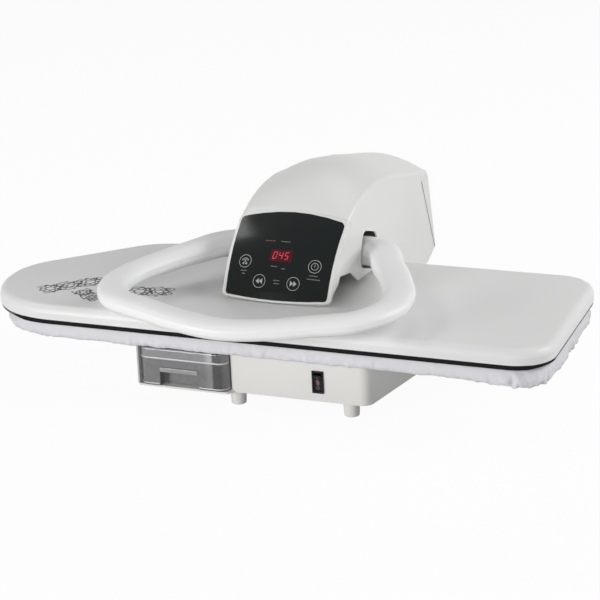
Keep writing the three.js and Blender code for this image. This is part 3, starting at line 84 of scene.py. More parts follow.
class Sock:
    """A node's output on which Python's arithmetic adds Math nodes."""

    def __init__(self, graph: "Graph", socket: bpy.types.NodeSocket) -> None:
        """Wraps one output socket of a graph."""
        self.graph = graph
        self.socket = socket

    def _math(self, operation: str, *values: Number) -> "Sock":
        """Adds one Math node over values or links."""
        node = self.graph.add("ShaderNodeMath", {"operation": operation}, dict(enumerate(values)))
        return self.graph.out(node, 0)

    def __add__(self, other: Number) -> "Sock":
        """Sum."""
        return self._math("ADD", self, other)

    __radd__ = __add__

    def __sub__(self, other: Number) -> "Sock":
        """Difference."""
        return self._math("SUBTRACT", self, other)

    def __rsub__(self, other: Number) -> "Sock":
        """Difference from a number."""
        return self._math("SUBTRACT", other, self)

    def __mul__(self, other: Number) -> "Sock":
        """Product."""
        return self._math("MULTIPLY", self, other)

    __rmul__ = __mul__

    def least(self, other: Number) -> "Sock":
        """The smaller of two."""
        return self._math("MINIMUM", self, other)

    def most(self, other: Number) -> "Sock":
        """The larger of two."""
        return self._math("MAXIMUM", self, other)

    def sine(self) -> "Sock":
        """Sine."""
        return self._math("SINE", self)

    def over(self, edge: float) -> "Sock":
        """One where this is greater than the edge, and else zero."""
        return self._math("GREATER_THAN", self, edge)


class Graph:
    """A shader or geometry node tree with one way to add a node."""

    def __init__(self, tree: bpy.types.NodeTree) -> None:
        """Empties the tree and keeps it."""
        self.tree = tree
        tree.nodes.clear()

    def add(self, kind: str, settings: dict[str, Any], values: dict[Any, Any]) -> bpy.types.Node:
        """Adds one node.

        Args:
            kind: The node's type name.
            settings: Properties that are set first; "stops" holds a ramp's stops.
            values: Values or links by socket name or number.

        Returns:
            The new node.
        """
        node = self.tree.nodes.new(kind)
        for key, value in settings.items():
            if key == "stops":
                self._stops(node, value)
            else:
                setattr(node, key, value)
        for key, value in values.items():
            socket = self._input(node, key)
            if isinstance(value, Sock):
                self.tree.links.new(value.socket, socket)
            else:
                socket.default_value = value
        return node

    @staticmethod
    def _stops(node: bpy.types.Node, stops: Sequence[tuple[float, Sequence[float]]]) -> None:
        """Sets a colour ramp's stops.

        Args:
            node: The colour ramp.
            stops: Each stop's place and colour.
        """
        elements = node.color_ramp.elements
        while len(elements) < len(stops):
            elements.new(0.5)
        for element, (place, colour) in zip(elements, stops):
            element.position = place
            element.color = (*colour, 1.0)

    @staticmethod
    def _input(node: bpy.types.Node, key: Any) -> bpy.types.NodeSocket:
        """Finds an enabled input by its name or number.

        Args:
            node: The node.
            key: The input's name or number.

        Returns:
            The input.
        """
        if isinstance(key, int):
            return node.inputs[key]
        return next(s for s in node.inputs if s.name == key and s.enabled)

    def out(self, node: bpy.types.Node, key: Any) -> Sock:
        """Wraps an enabled output by its name or number.

        Args:
            node: The node.
            key: The output's name or number.

        Returns:
            The wrapped output.
        """
        if isinstance(key, int):
            return Sock(self, node.outputs[key])
        return Sock(self, next(s for s in node.outputs if s.name == key and s.enabled))

    def value(self, kind: str, settings: dict[str, Any], values: dict[Any, Any], key: Any = 0) -> Sock:
        """Adds one node and returns one of its outputs."""
        return self.out(self.add(kind, settings, values), key)

    def seen(self) -> Sock:
        """Tells what a ray is for.

        Returns:
            One for rays from the camera, in reflections and through clear pieces, and else zero.
        """
        ray = self.add("ShaderNodeLightPath", {}, {})
        direct = self.out(ray, "Is Camera Ray").most(self.out(ray, "Is Transmission Ray"))
        return direct.most(self.out(ray, "Is Glossy Ray"))


class Shader(Graph):
    """A material's node tree with the patterns that the finishes share."""

    def __init__(self, name: str) -> None:
        """Makes a material with an empty tree.

        Args:
            name: The material's name.
        """
        self.material = bpy.data.materials.new(name)
        self.material.use_nodes = True
        super().__init__(self.material.node_tree)
        self.place = self.value("ShaderNodeTexCoord", {}, {}, "Object")

    def noise(self, scale: float, detail: float = 2.0, stretch: Colour = (1.0, 1.0, 1.0)) -> Sock:
        """Noise over the object's coordinates, from 0 to 1.

        Args:
            scale: Features a metre.
            detail: Octaves.
            stretch: Scale along each axis.

        Returns:
            The noise's value.
        """
        where = self.value("ShaderNodeMapping", {}, {"Vector": self.place, "Scale": stretch})
        return self.value(
            "ShaderNodeTexNoise", {}, {"Vector": where, "Scale": scale, "Detail": detail}, 0
        )

    def blend(self, share: Number, low: Any, high: Any) -> Sock:
        """Mixes two colours.

        Args:
            share: How much of the second colour shows, from 0 to 1.
            low: The first colour, or a link.
            high: The second colour, or a link.

        Returns:
            The mixed colour.
        """
        low = low if isinstance(low, Sock) else (*low, 1.0)
        high = high if isinstance(high, Sock) else (*high, 1.0)
        return self.value(
            "ShaderNodeMix", {"data_type": "RGBA"}, {"Factor": share, "A": low, "B": high}, "Result"
        )

    def bump(self, height: Sock, distance: float, strength: float = 1.0) -> Sock:
        """A normal from a height.

        Args:
            height: The height's value from 0 to 1.
            distance: What a height of 1 stands for, in metres.
            strength: The share of it that shows.

        Returns:
            The normal.
        """
        return self.value(
            "ShaderNodeBump", {}, {"Height": height, "Distance": distance, "Strength": strength}
        )

    def surface(self, values: dict[str, Any]) -> bpy.types.Material:
        """Closes the tree with a Principled shader.

        Args:
            values: Values or links of its sockets.

        Returns:
            The material.
        """
        shader = self.value("ShaderNodeBsdfPrincipled", {}, values, "BSDF")
        self.add("ShaderNodeOutputMaterial", {}, {"Surface": shader})
        return self.material


# Finishes


@dataclass(frozen=True)
class Moulded:
    """Moulded plastic or rubber with a fine grain and slight shade differences.

    In this and the other finishes, a scale counts features a metre and a depth is in metres.
    """

    colour: Colour
    roughness: float
    grain: float = 2200.0
    depth: float = 0.00002
    coat: float = 0.0
    shine: float = 0.5
    shade: float = 0.025
    handled: float = 0.06
    cloud_scale: float = 9.0
    smear_scale: float = 34.0
    coat_roughness: float = 0.06
    smoothest: float = 0.03

    def build(self, name: str) -> bpy.types.Material:
        """Builds the material.

        Args:
            name: The material's name.

        Returns:
            The material.
        """
        tree = Shader(name)
        cloud = tree.noise(self.cloud_scale, 3.0)
        smear = tree.noise(self.smear_scale, 4.0, (1.0, 2.4, 1.0))
        grain = tree.noise(self.grain)
        dark = tuple(c * (1.0 - self.shade * 2.0) for c in self.colour)
        light = tuple(min(c * (1.0 + self.shade), 1.0) for c in self.colour)
        rough = (smear - 0.5) * (self.handled * 2.0) + self.roughness
        return tree.surface({
            "Base Color": tree.blend(cloud, dark, light),
            "Roughness": rough.most(self.smoothest),
            "Specular IOR Level": self.shine,
            "Coat Weight": self.coat,
            "Coat Roughness": self.coat_roughness,
            "Normal": tree.bump(grain, self.depth),
        })


@dataclass(frozen=True)
class ClearPlastic:
    """Tinted see-through plastic with flow marks from its mould and a film of limescale.

    The bands along X paint light and shade into its colour: a lighter strip is a painted highlight
    on the rounded corner and the darker bands are painted shade of the dark inside seen through the
    wall. Each is a pair of a place along X in metres and the share of the colour that is left there.
    """

    colour: Colour
    solidity: float
    roughness: float = 0.1
    painted_light_bands: Sequence[Flat] = ()
    flow_scale: float = 22.0
    flow_depth: float = 0.0004
    flow_share: float = 0.16
    film_scale: float = 130.0
    film_from: float = 0.45
    film_share: float = 0.9
    film_roughness: float = 0.12
    paler: float = 1.35
    lifted: float = 0.04
    coat: float = 0.5
    coat_roughness: float = 0.04

    def _painted_light(self, tree: Shader, colour: Sock) -> Sock:
        """Darkens a colour by the painted light and shade of the bands along X.

        Args:
            tree: The material's tree.
            colour: The colour.

        Returns:
            The darkened colour.
        """
        low, high = self.painted_light_bands[0][0], self.painted_light_bands[-1][0]
        split = tree.add("ShaderNodeSeparateXYZ", {}, {"Vector": tree.place})
        place = (tree.out(split, "X") - low) * (1.0 / (high - low))
        stops = [((x - low) / (high - low), (share, share, share)) for x, share in self.painted_light_bands]
        ramp = tree.value("ShaderNodeValToRGB", {"stops": stops}, {"Fac": place}, "Color")
        return tree.value(
            "ShaderNodeMix", {"data_type": "RGBA", "blend_type": "MULTIPLY"},
            {"Factor": 1.0, "A": colour, "B": ramp}, "Result",
        )

    def build(self, name: str) -> bpy.types.Material:
        """Builds the material.

        Args:
            name: The material's name.

        Returns:
            The material.
        """
        tree = Shader(name)
        flow = tree.noise(self.flow_scale, 3.0, (0.5, 1.0, 3.0))
        film = tree.noise(self.film_scale, 5.0)
        pale = tuple(min(c * self.paler + self.lifted, 1.0) for c in self.colour)
        share = (film - self.film_from).most(0.0) * self.film_share
        tint = tree.blend(share, self.colour, pale)
        return tree.surface({
            # painted highlight and painted shade from the bands along X
            "Base Color": self._painted_light(tree, tint) if self.painted_light_bands else tint,
            "Roughness": film * self.film_roughness + self.roughness,
            "Alpha": (flow * self.flow_share + (self.solidity - self.flow_share / 2)).least(1.0),
            "Coat Weight": self.coat,
            "Coat Roughness": self.coat_roughness,
            "Normal": tree.bump(flow, self.flow_depth),
        })


@dataclass(frozen=True)
class Woven:
    """Plain-woven cotton on Object coordinates, with a nap and uneven shade."""

    colour: Colour
    shadow: Colour
    threads: float = 1500.0
    roughness: float = 0.82
    depth: float = 0.00025
    slant: float = 1.4
    slub_scale: float = 260.0
    cloud_scale: float = 11.0
    sheen: float = 0.25
    sheen_roughness: float = 0.5

    def build(self, name: str) -> bpy.types.Material:
        """Builds the material.

        Args:
            name: The material's name.

        Returns:
            The material.
        """
        tree = Shader(name)
        split = tree.add("ShaderNodeSeparateXYZ", {}, {"Vector": tree.place})
        x, y, z = (tree.out(split, key) for key in ("X", "Y", "Z"))
        turn = self.threads * math.pi
        along = ((x + y) * turn).sine()
        across = ((x - y + z * self.slant) * turn).sine()
        weave = (along * across) * 0.5 + 0.5
        slub = tree.noise(self.slub_scale, 3.0, (1.0, 0.4, 2.0))
        cloud = tree.noise(self.cloud_scale, 3.0)
        share = weave * 0.35 + slub * 0.35 + cloud * 0.3
        height = weave * 0.6 + slub * 0.4
        return tree.surface({
            "Base Color": tree.blend(share, self.shadow, self.colour),
            "Roughness": slub * 0.1 + self.roughness,
            "Sheen Weight": self.sheen,
            "Sheen Roughness": self.sheen_roughness,
            "Normal": tree.bump(height, self.depth),
        })


@dataclass(frozen=True)
class Worked:
    """Drawn, brushed or cast metal, dulled in patches."""

    colour: Colour
    roughness: float
    stretch: Colour = (1.0, 14.0, 14.0)
    grain: float = 300.0
    depth: float = 0.00003
    patch_scale: float = 28.0
    dulled: float = 0.72
    worn_from: float = 0.62
    patch_roughness: float = 0.12
    grain_roughness: float = 0.16

    def build(self, name: str) -> bpy.types.Material:
        """Builds the material.

        Args:
            name: The material's name.

        Returns:
            The material.
        """
        tree = Shader(name)
        lines = tree.noise(self.grain, 4.0, self.stretch)
        patch = tree.noise(self.patch_scale, 4.0)
        dull = tuple(c * self.dulled for c in self.colour)
        rough = lines * self.grain_roughness + patch * self.patch_roughness
        return tree.surface({
            "Base Color": tree.blend(patch, dull, self.colour),
            "Metallic": 1.0 - (patch - self.worn_from).most(0.0),
            "Roughness": rough + (self.roughness - self.patch_roughness),
            "Normal": tree.bump(lines, self.depth),
        })


@dataclass(frozen=True)
class Coated:
    """A dark non-stick coat on cast metal: fine speckle and slightly burnished patches."""

    colour: Colour
    speck: Colour
    speck_scale: float = 1700.0
    speck_from: float = 0.66
    speck_share: float = 0.7
    patch_scale: float = 16.0
    peel_scale: float = 900.0
    depth: float = 0.00006
    roughness: float = 0.32
    metallic: float = 0.15

    def build(self, name: str) -> bpy.types.Material:
        """Builds the material.

        Args:
            name: The material's name.

        Returns:
            The material.
        """
        tree = Shader(name)
        speck = tree.noise(self.speck_scale, 1.0).over(self.speck_from)
        patch = tree.noise(self.patch_scale, 4.0)
        peel = tree.noise(self.peel_scale)
        return tree.surface({
            "Base Color": tree.blend(speck * self.speck_share, self.colour, self.speck),
            "Roughness": patch * 0.2 + self.roughness,
            "Metallic": self.metallic,
            "Normal": tree.bump(peel, self.depth),
        })


@dataclass(frozen=True)
class Circuit:
    """A green circuit board with lines and pads under its varnish."""

    colour: Colour
    line: Colour
    cell_scale: float = 210.0
    line_from: float = 0.31
    line_edge: float = 9.0
    depth: float = 0.00006
    roughness: float = 0.25

    def build(self, name: str) -> bpy.types.Material:
        """Builds the material.

        Args:
            name: The material's name.

        Returns:
            The material.
        """
        tree = Shader(name)
        cell = tree.value(
            "ShaderNodeTexVoronoi", {"distance": "CHEBYCHEV"},
            {"Vector": tree.place, "Scale": self.cell_scale}, 0,
        )
        track = (cell - self.line_from).most(0.0) * self.line_edge
        return tree.surface({
            "Base Color": tree.blend(track.least(1.0), self.colour, self.line),
            "Roughness": tree.noise(80.0) * 0.2 + self.roughness,
            "Normal": tree.bump(track.least(1.0), self.depth),
        })


@dataclass(frozen=True)
class Lit:
    """A small lamp or lit segment behind a tinted window."""

    colour: Colour
    glow: float
    mottle_scale: float = 900.0
    dimmed: float = 0.75
    roughness: float = 0.25
    shine: float = 0.15

    def build(self, name: str) -> bpy.types.Material:
        """Builds the material.

        Args:
            name: The material's name.

        Returns:
            The material.
        """
        tree = Shader(name)
        mottle = tree.noise(self.mottle_scale)
        dim = tuple(c * self.dimmed for c in self.colour)
        return tree.surface({
            "Base Color": tree.blend(mottle, dim, self.colour),
            "Roughness": mottle * 0.1 + self.roughness,
            "Specular IOR Level": self.shine,
            "Emission Color": tree.blend(mottle, dim, self.colour),
            "Emission Strength": self.glow,
        })


class Finish(Enum):
    """The press's finishes."""

    SHELL = Moulded((0.80, 0.798, 0.785), 0.36, coat=0.1)
    GLOSS = Moulded((0.79, 0.79, 0.785), 0.44, grain=1500.0, depth=0.000008, coat=0.05, shade=0.015)
    HANDLE = Moulded((0.9, 0.9, 0.905), 0.42, grain=1900.0, depth=0.00001, coat=0.05, shade=0.015)
    HOUSING = Moulded((0.78, 0.772, 0.745), 0.4)
    FOOT = Moulded((0.8, 0.79, 0.765), 0.72, grain=900.0, depth=0.00008)
    SEAL = Moulded((0.05, 0.052, 0.056), 0.7, grain=700.0, depth=0.00006)
    HOSE = Moulded((0.62, 0.6, 0.56), 0.5, grain=500.0, depth=0.00004)
    BLACK = Moulded((0.018, 0.018, 0.02), 0.42, grain=1500.0, depth=0.00004)
    SWITCH = Moulded((0.006, 0.006, 0.007), 0.3, grain=1500.0, shine=0.2)
    # Partly painted shade: the dark band on the plate's edge also stands for the shade in the gap under the
    # plate.
    EDGE = Moulded((0.011, 0.011, 0.012), 0.85, grain=700.0, shine=0.1)
    LENS = Moulded(
        (0.004, 0.007, 0.0065), 0.16, grain=900.0, depth=0.000004, shine=0.17, shade=0.0, handled=0.03
    )
    WINDOW = Lit((0.06, 0.004, 0.008), 0.25)
    PRINT = Moulded((0.1, 0.1, 0.104), 0.45, grain=600.0, depth=0.00001)
    LABEL = Moulded((0.12, 0.12, 0.118), 0.5, grain=600.0, depth=0.00001)
    MARK = Moulded((0.42, 0.43, 0.43), 0.4, grain=600.0, depth=0.00001)
    CLOTH = Woven((0.87, 0.87, 0.9), (0.73, 0.73, 0.78))
    FOAM = Woven((0.68, 0.62, 0.42), (0.5, 0.44, 0.28), threads=500.0)
    THREAD = Woven((0.78, 0.78, 0.82), (0.5, 0.5, 0.56), threads=4000.0)
    STEEL = Worked((0.56, 0.57, 0.58), 0.38)
    BRONZE = Worked((0.52, 0.34, 0.14), 0.42, stretch=(3.0, 3.0, 3.0), grain=600.0)
    CAST = Worked((0.46, 0.47, 0.48), 0.6, stretch=(1.0, 1.0, 1.0), grain=800.0)
    COAT = Coated((0.022, 0.023, 0.025), (0.12, 0.12, 0.125))
    CIRCUIT = Circuit((0.02, 0.11, 0.045), (0.08, 0.26, 0.09))
    # The bands of SMOKE and PALE are painted light: a highlight strip at the tank's corner and painted shade
    # of its dark inside.
    SMOKE = ClearPlastic((0.25, 0.25, 0.252), 0.92, painted_light_bands=(
        (-0.157, 0.5), (-0.151, 0.74), (-0.06, 0.74), (-0.053, 1.0), (-0.049, 1.0), (-0.0462, 0.22),
        (-0.0365, 0.22), (-0.033, 0.5), (-0.029, 0.85),
    ))
    PALE = ClearPlastic((0.52, 0.52, 0.535), 0.8, painted_light_bands=(
        (-0.157, 0.5), (-0.151, 0.62), (-0.06, 0.6), (-0.053, 1.0), (-0.049, 1.0), (-0.0462, 0.2),
        (-0.0365, 0.22), (-0.033, 0.42), (-0.029, 0.6),
    ))
    GRIP = ClearPlastic((0.34, 0.34, 0.345), 0.9)
    # Pale clear plastic for the painted highlights on the tank's edges.
    BEAD = ClearPlastic((0.55, 0.55, 0.56), 0.95)
    SIDE = ClearPlastic((0.55, 0.56, 0.56), 0.85)
    DIGIT = Lit((0.5, 0.06, 0.09), 0.9)
    NEON = Lit((0.24, 0.12, 0.135), 0.1)
    AMBER = Lit((0.16, 0.07, 0.045), 0.1)


class Palette:
    """The materials, each built once."""

    def __init__(self) -> None:
        """Starts with no material."""
        self.built: dict[Finish, bpy.types.Material] = {}

    def get(self, finish: Finish) -> bpy.types.Material:
        """The material of a finish.

        Args:
            finish: The finish.

        Returns:
            Its material.
        """
        if finish not in self.built:
            self.built[finish] = finish.value.build("press_" + finish.name.lower())
        return self.built[finish]


# Outlines and meshes


@dataclass(frozen=True)
class Corner:
    """A rounded corner of an outline."""

    x: float
    y: float
    radius: float


def outline(corners: Sequence[Corner], step: float) -> list[tuple[Vector, Vector]]:
    """Points round an outline that runs anticlockwise.

    Args:
        corners: Its corners.
        step: The longest way between two points.

    Returns:
        Each point with its outward normal.
    """
    found: list[tuple[Vector, Vector]] = []
    count = len(corners)
    for i, corner in enumerate(corners):
        here = Vector((corner.x, corner.y))
        last, following = corners[i - 1], corners[(i + 1) % count]
        back = (Vector((last.x, last.y)) - here).normalized()
        ahead = (Vector((following.x, following.y)) - here).normalized()
        half = back.angle(ahead) / 2.0
        centre = here + (back + ahead).normalized() * (corner.radius / math.sin(half))
        start = here + back * (corner.radius / math.tan(half))
        sweep = math.pi - half * 2.0
        steps = max(math.ceil(sweep * corner.radius / step), 2)
        arm = start - centre
        for k in range(steps + 1):
            turned = arm.copy()
            turned.rotate(Matrix.Rotation(sweep * k / steps, 2))
            found.append((centre + turned, turned.normalized()))
    return _filled(found, step)


def _filled(points: list[tuple[Vector, Vector]], step: float) -> list[tuple[Vector, Vector]]:
    """Adds points on the straight stretches of a closed outline.

    Args:
        points: The outline's points with their normals.
        step: The longest way between two points.

    Returns:
        All points with their normals.
    """
    full: list[tuple[Vector, Vector]] = []
    for i, (place, normal) in enumerate(points):
        following, turned = points[(i + 1) % len(points)]
        pieces = max(math.ceil((following - place).length / step), 1)
        for k in range(pieces):
            share = k / pieces
            full.append((place.lerp(following, share), normal.lerp(turned, share).normalized()))
    return full


def spline(points: Sequence[Vector], t: float) -> Vector:
    """A point on a centripetal curve through points.

    Args:
        points: What it passes through.
        t: The place, from 0 to 1.

    Returns:
        The point.
    """
    place = t * (len(points) - 1)
    i = min(int(place), len(points) - 2)
    u = place - i
    p1, p2 = points[i], points[i + 1]
    p0 = points[i - 1] if i > 0 else p1 * 2.0 - p2
    p3 = points[i + 2] if i + 2 < len(points) else p2 * 2.0 - p1
    d0, d1, d2 = (max((b - a).length ** 0.5, 1e-6) for a, b in ((p0, p1), (p1, p2), (p2, p3)))
    m1 = ((p1 - p0) / d0 - (p2 - p0) / (d0 + d1) + (p2 - p1) / d1) * d1
    m2 = ((p2 - p1) / d1 - (p3 - p1) / (d1 + d2) + (p3 - p2) / d2) * d1
    return (
        p1 * (2 * u ** 3 - 3 * u ** 2 + 1) + m1 * (u ** 3 - 2 * u ** 2 + u)
        + p2 * (3 * u ** 2 - 2 * u ** 3) + m2 * (u ** 3 - u ** 2)
    )


def put(name: str, data: Any) -> bpy.types.Object:
    """Makes an object of its data and links it to the scene.

    Args:
        name: The object's name.
        data: Its mesh, curve, light or camera.

    Returns:
        The object.
    """
    item = bpy.data.objects.new(name, data)
    bpy.context.scene.collection.objects.link(item)
    return item


class Workshop:
    """Makes meshes in the row frame and gives each piece its body and finish."""

    def __init__(self, frame: dict[str, Any], palette: Palette) -> None:
        """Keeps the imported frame.

        Args:
            palette: The materials.
        """
        self.nodes: dict[str, bpy.types.Object] = frame["nodes"]
        self.body_of: dict[str, str] = {
            node: body for body, nodes in frame["record"]["behaviour"]["bodies"].items() for node in nodes
        }
        self.slot_of: dict[str, str] = {
            part["node"]: part["material_slot"] for part in frame["record"]["subparts"]
        }
        pivot = next(j for j in frame["joints"] if j["name"] == "plate_float")["pos_m"]
        self.origin = Vector((pivot[0], pivot[1], 0.0))
        self.palette = palette

    def at(self, x: float, y: float, z: float) -> Vector:
        """A point of the machine frame, in metres in the row frame."""
        return Vector((x, y, z)) * MM + self.origin

    @staticmethod
    def mesh(name: str, points: Iterable[Vector], faces: Iterable[Sequence[int]]) -> bpy.types.Object:
        """Makes an object of points in the row frame.

        Args:
            name: The object's name.
            points: Its points in metres.
            faces: The numbers of each face's points.

        Returns:
            The object.
        """
        data = bpy.data.meshes.new(name)
        data.from_pydata([tuple(p) for p in points], [], [tuple(f) for f in faces])
        data.validate()
        return put(name, data)

    def printed(
        self, name: str, shapes: Sequence[Patch], place: Callable[..., Vector], way: Vector
    ) -> bpy.types.Object:
        """Makes an object of flat shapes that lie on a face.

        Args:
            name: Its name.
            shapes: Its patches, each of spots in the face's two directions and of its faces.
            place: Gives a spot's point in the row frame.
            way: Where the face looks.

        Returns:
            The object, whose faces look that way.
        """
        points: list[Vector] = []
        faces: list[Sequence[int]] = []
        for spots, quads in shapes:
            start = len(points)
            points += [place(*spot) for spot in spots]
            faces += [[start + k for k in quad] for quad in quads]
        piece = self.mesh(name, points, faces)
        for face in piece.data.polygons:
            if face.normal.dot(way) < 0:
                face.flip()
        return piece

    def tidy(self, piece: bpy.types.Object, angle: float = 32.0) -> bpy.types.Object:
        """Merges doubles, faces the mesh outwards and smooths all but its sharp edges.

        Args:
            piece: The piece.
            angle: The angle in degrees from which an edge counts as sharp.

        Returns:
            The same piece.
        """
        shape = bmesh.new()
        shape.from_mesh(piece.data)
        bmesh.ops.remove_doubles(shape, verts=shape.verts, dist=MERGE_DISTANCE)
        bmesh.ops.recalc_face_normals(shape, faces=shape.faces)
        shape.to_mesh(piece.data)
        shape.free()
        self.smooth(piece, angle)
        return piece

    @staticmethod
    def smooth(piece: bpy.types.Object, angle: float) -> None:
        """Shades a mesh smooth between faces that meet at less than an angle in degrees."""
        piece.data.polygons.foreach_set("use_smooth", [True] * len(piece.data.polygons))
        piece.data.set_sharp_from_angle(angle=math.radians(angle))

    @staticmethod
    def settle(piece: bpy.types.Object) -> bpy.types.Object:
        """Turns what a piece's modifiers give into its plain mesh.

        Args:
            piece: A mesh or curve object with modifiers.

        Returns:
            The object with its plain mesh.
        """
        bpy.context.view_layer.update()
        seen = piece.evaluated_get(bpy.context.evaluated_depsgraph_get())
        data = bpy.data.meshes.new_from_object(seen)
        data.name = piece.name
        if piece.type != "MESH":
            name = piece.name
            bpy.data.objects.remove(piece)
            return put(name, data)
        piece.modifiers.clear()
        piece.data = data
        return piece

    def finish(
        self, piece: bpy.types.Object, body: str, finish: Finish, slot: str, replaced: Sequence[str] = ()
    ) -> None:
        """Gives a piece its material, body, slot and the nodes that it stands for.

        Args:
            piece: The piece.
            body: The body that carries it.
            finish: Its finish, unless it has a material.
            slot: Its material slot; not used.
            replaced: The CAD nodes that it stands for.
        """
        if not piece.data.materials:
            piece.data.materials.append(self.palette.get(finish))
        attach(piece, body)
        if replaced:
            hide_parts(*replaced)
        LOG.info("%s on %s", piece.name, body)

    def dress(self, node: str, finish: Finish) -> None:
        """Gives a CAD node that keeps its own mesh a material.

        Args:
            node: The node.
            finish: Its finish.
        """
        data = self.nodes[node].data
        data.materials.clear()
        data.materials.append(self.palette.get(finish))

    def skin(self, node: str, finish: Finish, bevel: float = 0.0, angle: float = 32.0) -> None:
        """Replaces a CAD node with a smooth copy whose sharp edges are broken.

        Args:
            node: The node.
            finish: Its finish.
            bevel: How wide the broken edges are, in millimetres.
            angle: The angle in degrees from which an edge counts as sharp.
        """
        data = self.nodes[node].data.copy()
        data.materials.clear()
        data.name = node + "_skin"
        for layer in list(data.uv_layers):
            data.uv_layers.remove(layer)
        shape = bmesh.new()
        shape.from_mesh(data)
        bmesh.ops.remove_doubles(shape, verts=shape.verts, dist=MERGE_DISTANCE)
        bmesh.ops.dissolve_degenerate(shape, edges=shape.edges, dist=SLIVER_EDGE)
        bmesh.ops.dissolve_limit(
            shape, angle_limit=math.radians(LEVEL_DEGREES), verts=shape.verts, edges=shape.edges
        )
        shape.to_mesh(data)
        shape.free()
        piece = put(node + "_skin", data)
        self.smooth(piece, angle)
        if bevel:
            edge = piece.modifiers.new("edge", "BEVEL")
            edge.width = bevel * MM
            edge.segments = 2
            edge.limit_method = "ANGLE"
            edge.angle_limit = math.radians(angle)
            edge.use_clamp_overlap = True
            weight = piece.modifiers.new("weight", "WEIGHTED_NORMAL")
            weight.keep_sharp = True
            piece = self.settle(piece)
        self.finish(piece, self.body_of[node], finish, self.slot_of[node], [node])

    def skins(self, *rows: Sequence[Any]) -> None:
        """Replaces one CAD node after another; each row holds what skin takes."""
        for row in rows:
            self.skin(*row)


# Repeated pieces


class Repeat(Graph):
    """A Geometry Nodes tree with named inputs for its sizes."""

    def __init__(self, name: str, sizes: dict[str, float]) -> None:
        """Makes the tree's interface.

        Args:
            name: The tree's name.
            sizes: The named inputs and their values.
        """
        super().__init__(bpy.data.node_groups.new(name, "GeometryNodeTree"))
        face = self.tree.interface
        face.new_socket("Geometry", in_out="INPUT", socket_type="NodeSocketGeometry")
        face.new_socket("Geometry", in_out="OUTPUT", socket_type="NodeSocketGeometry")
        self.sizes = sizes
        for size in sizes:
            face.new_socket(size, in_out="INPUT", socket_type="NodeSocketFloat")
        self.group = self.add("NodeGroupInput", {}, {})

    def size(self, name: str) -> Sock:
        """A named input."""
        return self.out(self.group, name)

    def close(self, instances: Sock, material: bpy.types.Material) -> None:
        """Ends the tree with real meshes in one material.

        Args:
            instances: What the tree has placed.
            material: Their material.
        """
        real = self.value("GeometryNodeRealizeInstances", {}, {"Geometry": instances})
        painted = self.value("GeometryNodeSetMaterial", {}, {"Geometry": real, "Material": material})
        self.add("NodeGroupOutput", {}, {"Geometry": painted})

    def run(self, shop: Workshop, carrier: bpy.types.Object) -> bpy.types.Object:
        """Runs the tree on a carrier and leaves the plain mesh that it gives.

        Args:
            shop: The workshop.
            carrier: An object whose points or curve the tree reads.

        Returns:
            The object with its new mesh.
        """
        modifier = carrier.modifiers.new("repeat", "NODES")
        modifier.node_group = self.tree
        for item in self.tree.interface.items_tree:
            if item.in_out == "INPUT" and item.name in self.sizes:
                modifier[item.identifier] = self.sizes[item.name]
        return shop.settle(carrier)


def screw_tree(
    name: str, radius: float, height: float, way: Colour, material: bpy.types.Material
) -> Repeat:
    """Pan-head screws with a cross recess, one on each point.

    Args:
        name: The tree's name.
        radius: The head's radius in millimetres.
        height: The head's height in millimetres.
        way: The direction that the heads face.
        material: The finish.

    Returns:
        The tree.
    """
    crown, arm_width, arm_length, recess_floor = 0.72, 0.3, 1.15, 0.9
    tree = Repeat(name, {"Radius": radius * MM, "Height": height * MM})
    head = tree.value("GeometryNodeMeshCone", {}, {
        "Vertices": 20, "Radius Top": tree.size("Radius") * crown, "Radius Bottom": tree.size("Radius"),
        "Depth": tree.size("Height"),
    }, "Mesh")
    for long_side in ("X", "Y"):
        reach = {"X": arm_width, "Y": arm_width, long_side: arm_length}
        size = tree.value("ShaderNodeCombineXYZ", {}, {
            "X": tree.size("Radius") * reach["X"], "Y": tree.size("Radius") * reach["Y"],
            "Z": tree.size("Height"),
        })
        bar = tree.value("GeometryNodeMeshCube", {}, {"Size": size}, "Mesh")
        lift = tree.value("ShaderNodeCombineXYZ", {}, {"Z": tree.size("Height") * recess_floor})
        arm = tree.value("GeometryNodeTransform", {}, {"Geometry": bar, "Translation": lift})
        head = tree.value("GeometryNodeMeshBoolean", {"operation": "DIFFERENCE"}, {0: head, 1: arm})
    turn = tree.value("FunctionNodeAlignRotationToVector", {"axis": "Z"}, {"Vector": way})
    placed = tree.value("GeometryNodeInstanceOnPoints", {}, {
        "Points": tree.out(tree.group, "Geometry"), "Instance": head, "Rotation": turn,
    })
    tree.close(placed, material)
    return tree


def stitch_tree(
    name: str, spacing: float, length: float, thick: float, material: bpy.types.Material
) -> Repeat:
    """Stitches laid end to end along a curve.

    Args:
        name: The tree's name.
        spacing: The way from stitch to stitch in millimetres.
        length: A stitch's length in millimetres.
        thick: The thread's thickness in millimetres.
        material: The finish.

    Returns:
        The tree.
    """
    tree = Repeat(name, {"Spacing": spacing * MM, "Length": length * MM, "Thick": thick * MM})
    points = tree.add("GeometryNodeCurveToPoints", {"mode": "LENGTH"}, {
        "Curve": tree.out(tree.group, "Geometry"), "Length": tree.size("Spacing"),
    })
    thread = tree.value("GeometryNodeMeshUVSphere", {}, {
        "Segments": 6, "Rings": 5, "Radius": tree.size("Thick") * 0.5,
    }, "Mesh")
    stretch = tree.value("ShaderNodeCombineXYZ", {}, {
        "X": 1.0, "Y": 1.0, "Z": tree.size("Length") * (1.0 / (thick * MM)),
    })
    turn = tree.value(
        "FunctionNodeAlignRotationToVector", {"axis": "Z"}, {"Vector": tree.out(points, "Tangent")}
    )
    placed = tree.value("GeometryNodeInstanceOnPoints", {}, {
        "Points": tree.out(points, "Points"), "Instance": thread, "Rotation": turn, "Scale": stretch,
    })
    tree.close(placed, material)
    return tree


